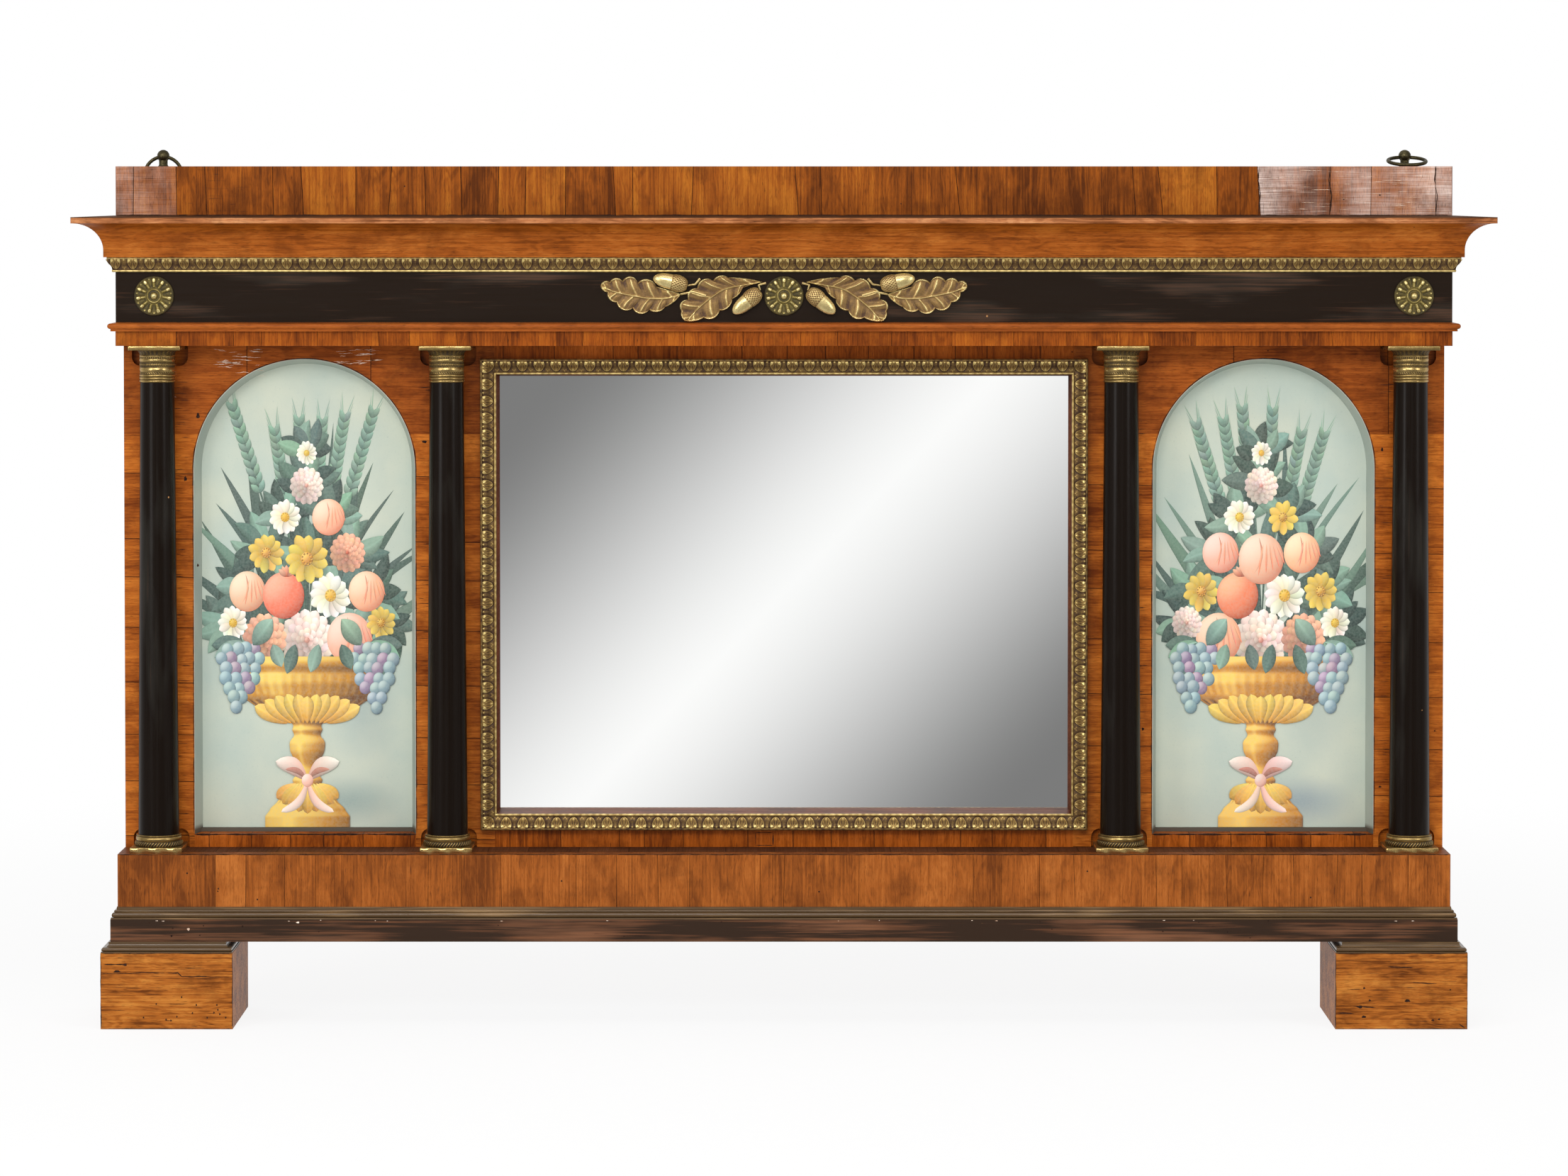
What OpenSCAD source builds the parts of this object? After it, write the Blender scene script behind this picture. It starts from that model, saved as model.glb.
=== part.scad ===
// Overmantel mirror: a veneered case with four ebonised columns, two arched painted panels,
// a framed glass in the middle, and a pair of bronze rings to hang it by.
// X runs to the right and Z up. The front faces -Y, and the wall lies at the back, at +Y.
// The origin is the centre of the footprint, on the plane that the feet stand on.
// Depths named _d or _p are measured forward from the wall. All sizes are in millimetres.

/* [Case] */
// Width of the case between its outer side faces
case_w = 1366; // [1340:1:1460]
// Depth of the case behind the face frame
case_d = 42; // [38:1:60]
// Thickness of the boards of the face frame
frame_t = 24.5; // [18:0.5:30]
// Thickness of the carcass boards
board_t = 18; // [12:1:22]
// Thickness of the thin back boards
back_t = 8; // [5:1:12]

/* [Base] */
// Width of each foot
foot_w = 135; // [90:1:200]
// Height of each foot below its moulding
foot_h = 78; // [50:1:120]
// How far the feet stand proud of the base board
foot_out = 9; // [8.5:0.5:12]
// Height of the moulding on top of each foot
foot_moulding_h = 10.5; // [10:0.5:14]
// Height of the ebonised base board
base_board_h = 22.8; // [15:0.1:40]
// How far the base board stands proud of the plinth
base_out = 7; // [7:0.5:9]
// Height of the reeded moulding at the foot of the plinth
base_moulding_h = 12.1; // [11.5:0.1:16]
// Height of the plinth above the reeded moulding
plinth_h = 54; // [35:1:90]
// Ledge of the plinth in front of the column plates
plinth_margin = 9.25; // [4:0.25:20]

/* [Columns] */
// Height of the columns, bases and capitals included
column_h = 521; // [400:1:640]
// Distance of each outer column's axis from the side of the case
outer_column_inset = 37.5; // [34:0.5:45]
// Distance of each inner column's axis from the gilt moulding
inner_column_gap = 33.5; // [31:0.5:40]
// Clear gap between the foot of the shafts and the face frame
column_gap = 0.5; // [0.3:0.1:3]
// Diameter of the shafts at the bottom
shaft_bottom_d = 42; // [37:0.5:45]
// Diameter of the shafts at the top
shaft_top_d = 35; // [30:0.5:36.5]
// Width of the square plates under the bases
plate_w = 53.5; // [52:0.5:56]
// Thickness of the square plates
plate_t = 5; // [3:0.5:7]
// Height of the turned part of each base
base_ring_h = 12; // [12:0.5:16]
// Height of the turned part of each capital
capital_h = 33.5; // [33:0.5:42]
// Thickness of the square plates on the capitals
abacus_t = 4.5; // [3:0.5:7]

/* [Arched panels] */
// Distance of each column's axis from the edge of the arched opening beside it
arch_margin = 34.2; // [32:0.2:44]
// Height of the sill above the plinth
sill_h = 13.5; // [11:0.5:24]
// Height of the frame above the crown of each arch
arch_top_gap = 14.6; // [10:0.2:30]
// Height of the joint between the stiles and the arched heads, below the fascia
head_h = 92.4; // [84:0.2:110]
// How far the painted lining splays inwards
lining_splay = 5.6; // [3:0.1:8]
// Thickness of the painted boards
panel_t = 6; // [4:0.5:10]

/* [Central mirror] */
// Width over the gilt moulding
mirror_w = 628; // [560:1:660]
// Height of the rail that shows below the gilt moulding
mirror_low_gap = 18.5; // [12:0.1:30]
// Height of the rail that shows above the gilt moulding
mirror_high_gap = 14.4; // [12:0.1:30]
// Width of the gilt moulding
gallery_w = 16.3; // [15:0.1:20]
// How far the gilt moulding stands proud of the face frame
gallery_t = 11.5; // [10:0.5:14]
// How far the walnut slip leans inwards from the moulding to the glass
slip_lean = 2.2; // [1:0.1:6]
// Thickness of the glass
glass_t = 4; // [3:0.5:6]

/* [Entablature] */
// Height of the fascia over the columns
fascia_h = 15; // [12:0.5:24]
// How far the capitals' plates stand proud of the fascia
abacus_out = 4.75; // [0:0.25:10]
// How far the frieze stands proud of the sides of the case
entab_out = 2; // [0.5:0.5:5]
// Height of the small moulding on top of the fascia
strip_h = 9.2; // [9:0.1:16]
// Height of the frieze between the small moulding and the leaf band
frieze_h = 51.5; // [51:0.1:80]
// Height of the gilt leaf band
band_h = 15.3; // [14:0.1:18]
// Height of the upright foot of the cornice
cornice_foot_h = 7; // [4:0.5:14]
// How far the foot of the cornice stands proud of the frieze
cornice_foot_out = 11; // [10:0.5:14]
// Radius of the hollow of the cornice
cavetto_r = 27.6; // [22:0.2:36]
// Height of the plain edge over the hollow
corona_h = 5.5; // [4:0.1:12]
// Rise of the cornice top from its edge to the parapet
deck_rise = 2.6; // [2:0.1:10]

/* [Parapet] */
// Height of the parapet
parapet_h = 50.4; // [40:0.1:80]
// How far the parapet stands back from the frieze
parapet_setback = 6; // [2:0.5:20]
// Thickness of the parapet's top board
parapet_top_t = 8; // [5:1:12]

/* [Hanging rings] */
// Diameter of each ring at the middle of its wire
ring_d = 39.2; // [34:0.2:50]
// Diameter of the wire
wire_d = 3.7; // [2.8:0.1:4]
// Diameter of each knob
knob_d = 13; // [12:0.5:14]
// Height of the hole above the parapet
eye_h = 10.5; // [10:0.1:13]
// Height of the knob's centre above the hole
knob_rise = 1.4; // [0:0.1:2]
// Distance of each knob from the end of the parapet
ring_inset = 36; // [26:0.5:80]
// Thickness of the hanger plates
hanger_t = 2; // [1.5:0.1:3]
// Width of the hanger plates
hanger_w = 20; // [18:0.5:24]
// Height of the hanger plates
hanger_h = 32; // [20:1:40]

/* [Ornaments] */
// Diameter of the rosettes
rosette_d = 41; // [34:0.5:42]
// Beads round each rosette
rosette_beads = 11; // [8:1:12]
// Length of the outer oak leaves of the frieze mounts
leaf_outer_l = 83.5; // [70:0.5:86]
// Length of the inner oak leaves
leaf_inner_l = 87.5; // [70:0.5:88]
// Width of each oak leaf
leaf_w = 33; // [24:1:33]
// Length of each acorn
acorn_l = 36; // [30:1:37]

/* [Clearances] */
// Play between a ring at rest and the parapet under it
play = 0.3; // [0.2:0.05:0.5]
// Play of the wire in the hole through the knob, across the hole
eye_play = 0.8; // [0.6:0.1:1.4]
// Play between a hanging ring and the hanger plate
ring_play = 0.6; // [0.4:0.1:1.2]
// Width of the hairline at the mitred joints
mitre_gap = 0.2; // [0.1:0.05:0.4]
// Lap of the glass and the painted boards behind the face frame
lap = 8; // [5:0.5:12]

/* [Hidden] */
$fn = 64;

// Heights of the layers, from the ground up
z_foot = foot_h;
z_foot_moulding = z_foot + foot_moulding_h;
z_base_board = z_foot_moulding + base_board_h;
z_base_moulding = z_base_board + base_moulding_h;
z_plinth = z_base_moulding + plinth_h;
z_columns = z_plinth + column_h;
z_fascia = z_columns + fascia_h;
z_frieze = z_fascia + strip_h + frieze_h;
z_band = z_frieze + band_h;
corona_lip = 1.4;
z_cornice = z_band + cornice_foot_h + cavetto_r + corona_h;
z_deck = z_cornice + deck_rise;
z_parapet = z_deck + parapet_h;
z_eye = z_parapet + eye_h;
// The ornaments of the frieze sit a little above its middle
z_ornament = z_fascia + strip_h + frieze_h / 2 + 1.4;

// Depths and half widths
face_p = case_d + frame_t;
column_p = face_p + column_gap + shaft_bottom_d / 2;
plate_p = column_p + plate_w / 2;
plinth_d = plate_p + plinth_margin;
entab_d = plate_p - abacus_out;
parapet_d = entab_d - parapet_setback;
strip_out = 7.7;
band_out = 8;
cornice_out = cornice_foot_out + cavetto_r + corona_lip;
total_d = entab_d + cornice_out;
wall_y = total_d / 2;
half_case = case_w / 2;
half_entab = half_case + entab_out;
base_d = plinth_d + base_out;
half_base = half_case + base_out;

// Places along the front
outer_x = half_case - outer_column_inset;
inner_x = mirror_w / 2 + inner_column_gap;
arch_x = (outer_x + inner_x) / 2;
arch_r = (outer_x - inner_x) / 2 - arch_margin;
z_sill = z_plinth + sill_h;
z_spring = z_columns - arch_top_gap - arch_r;
z_head = z_columns - head_h;
// Half width of the arch at the joint between the stiles and the heads
turn_r = sqrt(pow(arch_r, 2) - pow(max(0, z_head - z_spring), 2));
z_gallery_low = z_plinth + mirror_low_gap;
z_gallery_high = z_columns - mirror_high_gap;
gallery_lap = 2;
sight_w = mirror_w - 2 * gallery_w;
void_w = sight_w + 2 * gallery_lap;
z_void_low = z_gallery_low + gallery_w - gallery_lap;
z_void_high = z_gallery_high - gallery_w + gallery_lap;
notch_gap = 2.2;
notch_r = 9;

// Rings: the wire bends away from the hinge line on both sides of the knob, so half
// of that bend is put above the line and half below it
ring_r = ring_d / 2;
wire_r = wire_d / 2;
wire_bend = ring_r - sqrt(pow(ring_r, 2) - pow(knob_d / 2, 2));
ring_drop = ring_r - wire_bend / 2;
eye_d = wire_d + wire_bend + eye_play;
stud_r = 7;
eye_p = stud_r + 0.5;
parapet_back_p = eye_p + wire_r + ring_play + hanger_t;
ring_x = half_entab - ring_inset;
ring_lie = asin((eye_h - wire_r - play) / (ring_drop + ring_r));

walnut = [0.62, 0.36, 0.16];
walnut_dark = [0.42, 0.22, 0.10];
ebony = [0.14, 0.11, 0.09];
brass = [0.72, 0.58, 0.26];
pine = [0.72, 0.58, 0.38];
paint = [0.72, 0.78, 0.72];
bronze = [0.30, 0.27, 0.20];

// Y of a depth measured forward from the wall
function py(p) = wall_y - p;

// A board between two corners given as x, distance from the wall, and height
module board(x0, x1, p0, p1, z0, z1) {
  translate([x0, py(p1), z0]) cube([x1 - x0, p1 - p0, z1 - z0]);
}

// A pair of the same piece on the left and on the right
module pair() {
  children();
  mirror([1, 0, 0]) children();
}

// A moulding along the front, mitred at both ends; the profile has x outwards and y up
module front_run(half_w, p, z, h, reach) {
  cut = mitre_gap / sqrt(2);
  intersection() {
    translate([-half_w - reach, py(p), z])
      rotate([90, 0, 90])
        linear_extrude(2 * (half_w + reach))
          mirror([1, 0]) children();
    translate([0, 0, z - 1])
      linear_extrude(h + 2)
        polygon([
          [cut + 1 - half_w, py(p) + 1],
          [half_w - 1 - cut, py(p) + 1],
          [half_w + reach + 1 - cut, py(p) - reach - 1],
          [cut - half_w - reach - 1, py(p) - reach - 1]
        ]);
  }
}

// The same moulding along the right side, mitred in front and square at the wall
module side_run(half_w, p, z, h, reach) {
  cut = mitre_gap / sqrt(2);
  intersection() {
    translate([half_w, wall_y, z])
      rotate([90, 0, 0])
        linear_extrude(p + reach) children();
    translate([0, 0, z - 1])
      linear_extrude(h + 2)
        polygon([
          [half_w - 1 + cut, wall_y + 1],
          [half_w - 1 + cut, py(p) + 1],
          [half_w + reach + 1 + cut, py(p) - reach - 1],
          [half_w + reach + 1 + cut, wall_y + 1]
        ]);
  }
}

// Front run and both side runs of one profile
module wrap(half_w, p, z, h, reach) {
  front_run(half_w, p, z, h, reach) children();
  pair() side_run(half_w, p, z, h, reach) children();
}

// Feet
module foot() {
  board(half_base + foot_out - foot_w, half_base + foot_out, 0, base_d + foot_out, 0, z_foot);
}

// Profile of the foot moulding: fillet, bead, cove and fillet, stepping in to the base board
module foot_profile(inside) {
  bead = 2.1;
  cove = 3.6;
  bead_x = foot_out - 0.8 - bead;
  bead_z = 1.2 + bead;
  cove_x = cove + 1.6;
  cove_z = bead_z + bead + cove;
  translate([-inside, 0]) square([inside + foot_out - 0.4, 1.2]);
  translate([-inside, 0]) square([inside + bead_x, bead_z + bead]);
  translate([bead_x, bead_z]) circle(bead);
  difference() {
    translate([-inside, 0]) square([inside + cove_x, cove_z]);
    translate([cove_x, cove_z]) circle(cove);
  }
  translate([-inside, 0]) square([inside + 1.6, foot_moulding_h]);
}

module foot_moulding() {
  inner_edge = half_base + 2 * foot_out - foot_w;
  width = half_base - inner_edge;
  intersection() {
    // profile seen from the side, along the front edge
    translate([inner_edge - foot_out, py(base_d), z_foot])
      rotate([90, 0, 90])
        linear_extrude(width + 2 * foot_out)
          mirror([1, 0]) foot_profile(base_d);
    // the same profile along both ends
    translate([inner_edge + width / 2, wall_y, z_foot])
      rotate([90, 0, 0])
        linear_extrude(base_d + foot_out)
          union() {
            translate([width / 2, 0]) foot_profile(width / 2);
            mirror([1, 0]) translate([width / 2, 0]) foot_profile(width / 2);
          }
  }
}

// Profile of the moulding at the foot of the plinth: fillet, reed, bead and fillet
module base_profile() {
  reed = 2.6;
  bead = 1.2;
  fillet = 1.6;
  square([base_out - 0.4, fillet]);
  square([base_out - 1.2 - reed, fillet + 2 * reed]);
  translate([base_out - 1.2 - reed, fillet + reed]) circle(reed);
  square([1.2 + bead, fillet + 2 * reed + 2 * bead]);
  translate([1.2 + bead, fillet + 2 * reed + bead]) circle(bead);
  square([1.2, base_moulding_h]);
}

// Profile of the small moulding on the fascia: fillet, round nose and sloping weathering
module strip_profile() {
  nose = 2.9;
  fillet = strip_h - 2 * nose - 1;
  nose_x = strip_out - nose;
  square([nose_x, fillet + nose]);
  translate([nose_x, fillet + nose]) circle(nose);
  polygon([
    [0, fillet + nose],
    [nose_x, fillet + nose],
    [nose_x, fillet + 2 * nose],
    [0, strip_h]
  ]);
}

// Curved reverse ogee: region from x = 0 to a double curve that leans outwards with height
module ogee(x_low, x_high, z_low, z_high) {
  w = x_high - x_low;
  h = z_high - z_low;
  turn = 2 * atan(w / h);
  r = h / (2 * sin(turn));
  z_mid = (z_low + z_high) / 2;
  difference() {
    translate([0, z_low]) square([(x_low + x_high) / 2 + 0.01, z_mid - z_low + 0.01]);
    translate([x_low + r, z_low]) circle(r, $fn = 96);
  }
  intersection() {
    translate([0, z_mid]) square([x_high, z_high - z_mid]);
    translate([x_high - r, z_high]) circle(r, $fn = 96);
  }
}

// Profile of the gilt leaf band: bead at the bottom, ogee, and plain edge at the top
module band_profile() {
  bead = 1.3;
  translate([2.2, bead]) circle(bead);
  square([2.2, 2 * bead]);
  ogee(2.6, band_out, 2 * bead - 0.6, band_h - 1.4);
  translate([0, band_h - 1.4]) square([band_out, 1.4]);
}

// Profile of the cornice: upright foot, quarter hollow and plain edge
module cornice_profile() {
  difference() {
    square([cornice_foot_out + cavetto_r, cornice_foot_h + cavetto_r]);
    translate([cornice_foot_out + cavetto_r, cornice_foot_h]) circle(cavetto_r, $fn = 96);
    translate([cornice_foot_out, -1]) square([cavetto_r + 1, cornice_foot_h + 1]);
  }
  translate([0, cornice_foot_h + cavetto_r]) square([cornice_out, corona_h]);
}

// Arched outline in the plane of the face, from the sill to the crown
module arch_outline(r) {
  translate([arch_x - r, z_sill]) square([2 * r, z_spring - z_sill]);
  translate([arch_x, z_spring]) circle(r, $fn = 128);
}

// Solid with an outline in the plane of the face, from depth p0 to depth p1
module upright(p0, p1) {
  translate([0, py(p0), 0]) rotate([90, 0, 0]) linear_extrude(p1 - p0) children();
}

// Room in the face frame for a column's base and capital
module column_notches(x) {
  half = plate_w / 2 + notch_gap;
  depth = face_p - column_p + plate_w / 2 + 1;
  upright(face_p - depth, face_p + 1) {
    translate([x - half, z_plinth - 1]) square([2 * half, plate_t + base_ring_h + notch_gap + 1 - notch_r]);
    translate([x - half + notch_r, z_plinth - 1])
      square([2 * (half - notch_r), plate_t + base_ring_h + notch_gap + 1]);
    translate([x - half + notch_r, z_plinth + plate_t + base_ring_h + notch_gap - notch_r]) circle(notch_r);
    translate([x + half - notch_r, z_plinth + plate_t + base_ring_h + notch_gap - notch_r]) circle(notch_r);
    translate([x - half, z_columns - abacus_t - notch_gap - 6]) square([2 * half, abacus_t + notch_gap + 7]);
    translate([x - half + notch_r, z_columns - abacus_t - notch_gap - 6 - notch_r])
      square([2 * (half - notch_r), notch_r + 1]);
    translate([x - half + notch_r, z_columns - abacus_t - notch_gap - 6]) circle(notch_r);
    translate([x + half - notch_r, z_columns - abacus_t - notch_gap - 6]) circle(notch_r);
  }
}

// Stiles, cut by the arch where it starts to turn; each widens there towards the arch, up to x_turn
module stile(x0, x1, x_turn, x_column) {
  difference() {
    union() {
      board(x0, x1, case_d, face_p, z_plinth, z_head);
      board(min(x0, x_turn), max(x1, x_turn), case_d, face_p, min(z_spring, z_head), z_head);
    }
    upright(case_d - 1, face_p + 1) arch_outline(arch_r);
    column_notches(x_column);
  }
}

module stile_outer() {
  stile(arch_x + arch_r, half_case, arch_x + turn_r, outer_x);
}

module stile_inner() {
  stile(void_w / 2, arch_x - arch_r, arch_x - turn_r, inner_x);
}

module arch_head() {
  difference() {
    board(void_w / 2, half_case, case_d, face_p, z_head, z_columns);
    upright(case_d - 1, face_p + 1) arch_outline(arch_r);
    column_notches(outer_x);
    column_notches(inner_x);
  }
}

// Splayed lining of the arch, thin in front and wide at the painted board
module arch_lining() {
  edge = 0.6;
  foot = 4;
  section = [
    [arch_r - edge, frame_t],
    [arch_r, frame_t],
    [arch_r, 0],
    [arch_r - lining_splay, 0]
  ];
  translate([arch_x, py(case_d), z_spring])
    rotate([90, 0, 0])
      rotate_extrude(angle = 180, $fn = 128) polygon(section);
  for (side = [0, 1])
    translate([arch_x, 0, z_sill])
      mirror([side, 0, 0])
        translate([0, py(case_d), 0])
          linear_extrude(z_spring - z_sill)
            polygon([for (q = section) [q[0], -q[1]]]);
  board(arch_x - arch_r + 1, arch_x + arch_r - 1, case_d, case_d + foot + 1, z_sill, z_sill + foot);
}

module painted_panel() {
  board(arch_x - arch_r - lap, arch_x + arch_r + lap, case_d - panel_t, case_d,
    z_sill - lap, z_spring + arch_r + lap);
}

// Profile of the gilt moulding: x stands out of the face, y runs from the outer edge inwards
module gallery_profile() {
  bead = 1.3;
  square([gallery_t, 2]);
  translate([gallery_t - bead - 0.2, bead + 0.2]) circle(bead + 0.2);
  mirror([0, 1])
    translate([0, -gallery_w])
      ogee(3.4, gallery_t - 0.4, 2 * bead, gallery_w - 1.9);
  translate([0, gallery_w - 2 * bead - 0.1]) square([2.6, 2 * bead + 0.1]);
  translate([2.6, gallery_w - bead]) circle(bead);
}

// One member of the gilt moulding, along X, with its outer edge at the given length
module gallery_member(length) {
  cut = mitre_gap / sqrt(2);
  intersection() {
    translate([-length / 2, py(face_p), 0])
      rotate([90, 0, 90])
        linear_extrude(length)
          mirror([1, 0]) gallery_profile();
    translate([0, py(face_p) + 1, 0])
      rotate([90, 0, 0])
        linear_extrude(gallery_t + 2)
          polygon([
            [cut - length / 2 - 1, -1],
            [length / 2 + 1 - cut, -1],
            [length / 2 - gallery_w - 1 - cut, gallery_w + 1],
            [cut - length / 2 + gallery_w + 1, gallery_w + 1]
          ]);
  }
}

module gallery_frame() {
  mirror_h = z_gallery_high - z_gallery_low;
  z_mid = (z_gallery_high + z_gallery_low) / 2;
  translate([0, 0, z_gallery_low]) gallery_member(mirror_w);
  translate([0, 0, z_gallery_high]) rotate([0, 180, 0]) gallery_member(mirror_w);
  translate([-mirror_w / 2, 0, z_mid]) rotate([0, 90, 0]) gallery_member(mirror_h);
  translate([mirror_w / 2, 0, z_mid]) rotate([0, -90, 0]) gallery_member(mirror_h);
}

// Side view of the sight of the glass: x from the glass to the face, y across, leaning in at the glass
module sight(across) {
  half = across / 2;
  mirror([1, 0])
    polygon([
      [case_d - 1, slip_lean - half],
      [case_d, slip_lean - half],
      [face_p, -half],
      [face_p + 1, -half],
      [face_p + 1, half],
      [face_p, half],
      [case_d, half - slip_lean],
      [case_d - 1, half - slip_lean]
    ]);
}

// Walnut slip round the glass, from the face of the frame back to the glass
module slip_frame() {
  sight_h = z_void_high - z_void_low - 2 * gallery_lap;
  z_mid = (z_void_high + z_void_low) / 2;
  difference() {
    board(-void_w / 2, void_w / 2, case_d, face_p, z_void_low, z_void_high);
    intersection() {
      translate([-void_w / 2, wall_y, z_mid]) rotate([90, 0, 90]) linear_extrude(void_w) sight(sight_h);
      translate([0, wall_y, z_void_low]) rotate([0, 0, 90])
        linear_extrude(z_void_high - z_void_low) sight(sight_w);
    }
  }
}

// Columns
module shaft(x) {
  translate([x, py(column_p), z_plinth + plate_t + base_ring_h])
    cylinder(
      h = column_h - plate_t - base_ring_h - capital_h - abacus_t,
      r1 = shaft_bottom_d / 2,
      r2 = shaft_top_d / 2,
      $fn = 96
    );
}

module column_base(x) {
  torus = 3.9;
  rim = shaft_bottom_d / 2 + 1.8;
  translate([x - plate_w / 2, py(column_p) - plate_w / 2, z_plinth]) cube([plate_w, plate_w, plate_t]);
  translate([x, py(column_p), z_plinth + plate_t])
    rotate_extrude($fn = 96) {
      square([shaft_bottom_d / 2, base_ring_h]);
      translate([rim - 0.6, torus]) circle(torus);
      square([rim - 0.6, 2 * torus]);
      translate([0, 2 * torus]) square([rim - 0.2, 1]);
      translate([rim - 1.4, 2 * torus + 2.1]) circle(1.3);
      translate([0, 2 * torus]) square([rim - 1.4, 3.4]);
      square([rim - 1, base_ring_h]);
    }
}

// Capital: three rings, two engraved bands, a flared neck and a square plate
module capital(x) {
  r = shaft_top_d / 2 - 0.2;
  z0 = z_columns - abacus_t - capital_h;
  flare = 6;
  translate([x - plate_w / 2, py(column_p) - plate_w / 2, z_columns - abacus_t])
    cube([plate_w, plate_w, abacus_t]);
  translate([x, py(column_p), z0])
    rotate_extrude($fn = 96) {
      square([r, capital_h]);
      for (k = [0:2]) translate([r - 0.4, 1.5 + 2.9 * k]) circle(1.5);
      translate([0, 9.8]) square([r + 0.5, 1]);
      translate([0, 15.6]) square([r + 0.9, 1.2]);
      translate([0, 21.8]) square([r + 1.2, 1]);
      difference() {
        translate([0, capital_h - flare]) square([r + flare, flare]);
        translate([r + flare, capital_h - flare]) circle(flare);
      }
    }
}

// Hanger: plate on the parapet's back, a lug bent over its top, and the turned stud
module hanger() {
  lug_t = 3;
  waist_r = 4.5;
  knob_z = eye_h + knob_rise;
  knob_r = knob_d / 2;
  difference() {
    union() {
      board(ring_x - hanger_w / 2, ring_x + hanger_w / 2, parapet_back_p - hanger_t, parapet_back_p,
        z_parapet - hanger_h, z_parapet);
      board(ring_x - stud_r, ring_x + stud_r, eye_p, parapet_back_p, z_parapet - lug_t, z_parapet);
      intersection() {
        translate([ring_x, py(eye_p), z_parapet - lug_t]) cylinder(h = lug_t, r = stud_r);
        board(ring_x - stud_r, ring_x + stud_r, 0, parapet_back_p, z_parapet - lug_t, z_parapet);
      }
      translate([ring_x, py(eye_p), z_parapet])
        rotate_extrude() {
          square([waist_r, knob_z]);
          square([stud_r, 0.8]);
          difference() {
            translate([0, 0.8]) square([stud_r, 2.5]);
            translate([stud_r, 3.3]) circle(2.5);
          }
          intersection() {
            translate([0, knob_z]) circle(knob_r);
            translate([0, knob_z - knob_r]) square([knob_r, 2 * knob_r]);
          }
        }
    }
    translate([ring_x - knob_d, py(eye_p), z_eye]) rotate([0, 90, 0]) cylinder(h = 2 * knob_d, r = eye_d / 2);
  }
}

// Ring hung from the hinge line, turned forward by the given angle
module ring(x, turn) {
  translate([x, py(eye_p), z_eye])
    rotate([-turn, 0, 0])
      translate([0, 0, -ring_drop])
        rotate([90, 0, 0])
          rotate_extrude($fn = 96) translate([ring_r, 0]) circle(wire_r, $fn = 32);
}

// Rosette: dished disc with a rope rim, a circle of beads, a ring and a boss
module rosette(x) {
  r = rosette_d / 2;
  bead = 2.9;
  translate([x, py(entab_d), z_ornament])
    rotate([90, 0, 0]) {
      rotate_extrude($fn = 96) {
        difference() {
          square([r - 1, 3.2]);
          translate([r * 0.6, 9.4]) circle(7.6);
        }
        translate([r - 1.2, 1.2]) circle(1.2);
        square([r - 1.2, 1.2]);
        translate([r * 0.36, 2.4]) circle(1.3);
        intersection() {
          translate([0, 1.4]) circle(4.4);
          square([5, 6]);
        }
      }
      for (k = [0:rosette_beads - 1])
        rotate([0, 0, 360 / rosette_beads * k])
          translate([r - 1.2 - bead, 0, 1.4])
            intersection() {
              sphere(bead, $fn = 32);
              translate([-bead, -bead, -1.2]) cube([2 * bead, 2 * bead, 2 * bead]);
            }
    }
}

// Cast oak leaves. Each row is a notch of an edge, from stem to tip: its place along and across the leaf, as
// shares of the length and width, and the swell of the lobe before it. The ribs are the middle line
// of a leaf.
leaf_t = 1.6;
rim_w = 1.9;
rim_h = 1.2;
vein_h = 0.7;
lobe_steps = 8;
outer_near = [
  [0, 0, 0], [0.319, -0.162, 0.01], [0.548, -0.206, 0.15], [0.737, -0.221, 0.17],
  [0.892, -0.164, 0.11], [1, 0, 0.09]
];
outer_far = [
  [0, 0, 0], [0.187, 0.46, 0.05], [0.378, 0.584, 0.12], [0.582, 0.581, 0.17], [0.782, 0.455, 0.17],
  [0.906, 0.175, 0.11], [1, 0, 0.04]
];
outer_rib = [[0, 0], [0.104, 0.143], [0.289, 0.227], [0.446, 0.232], [0.652, 0.182], [0.794, 0.149], [1, 0]];
inner_near = [
  [0, 0, 0], [0.333, -0.638, 0.06], [0.501, -0.762, 0.12], [0.706, -0.787, 0.17], [0.861, -0.606, 0.15],
  [0.98, -0.396, 0.15], [1, 0, 0.07]
];
inner_far = [
  [0, 0, 0], [0.253, -0.121, -0.03], [0.409, 0.013, 0.06], [0.601, 0.146, 0.12], [0.8, 0.116, 0.15],
  [1, 0, 0.05]
];
inner_rib = [
  [0, 0], [0.254, -0.242], [0.411, -0.378], [0.548, -0.364], [0.695, -0.305], [0.85, -0.201], [1, 0]
];

// Place in millimetres of a row of a leaf of the given length
function at(row, length) = [row[0] * length, row[1] * leaf_w];

// Square to the way from a to b, to its left
function square_to(a, b) = [a[1] - b[1], b[0] - a[0]] / norm(b - a);

// Points of one edge of a leaf: each lobe swells as an arch between two notches, to the given side
function lobed(rows, length, side) = [
  for (i = [1:len(rows) - 1])
    let (a = at(rows[i - 1], length), b = at(rows[i], length), swell = side * leaf_w * rows[i][2])
      for (k = [0:lobe_steps - 1])
        a + (b - a) * k / lobe_steps + square_to(a, b) * swell * pow(sin(180 * k / lobe_steps), 0.8)
];

// Point of the middle line that the veins to a place on the edge start from
function rib_at(p, rib, length) =
  let (x = max(0, p[0] - 0.11 * length * (1 - p[0] / length / 2)))
    [x, leaf_w * lookup(x / length, rib)];

// The same edge moved in by the rim, where the leaf is wide enough
function sunk(edge, rib, length) = [
  for (p = edge)
    let (m = rib_at(p, rib, length), d = norm(m - p))
      if (d > 2 * rim_w) p + (m - p) * rim_w / d
];

function turned(list) = [for (k = [len(list) - 1:-1:0]) list[k]];

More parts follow.
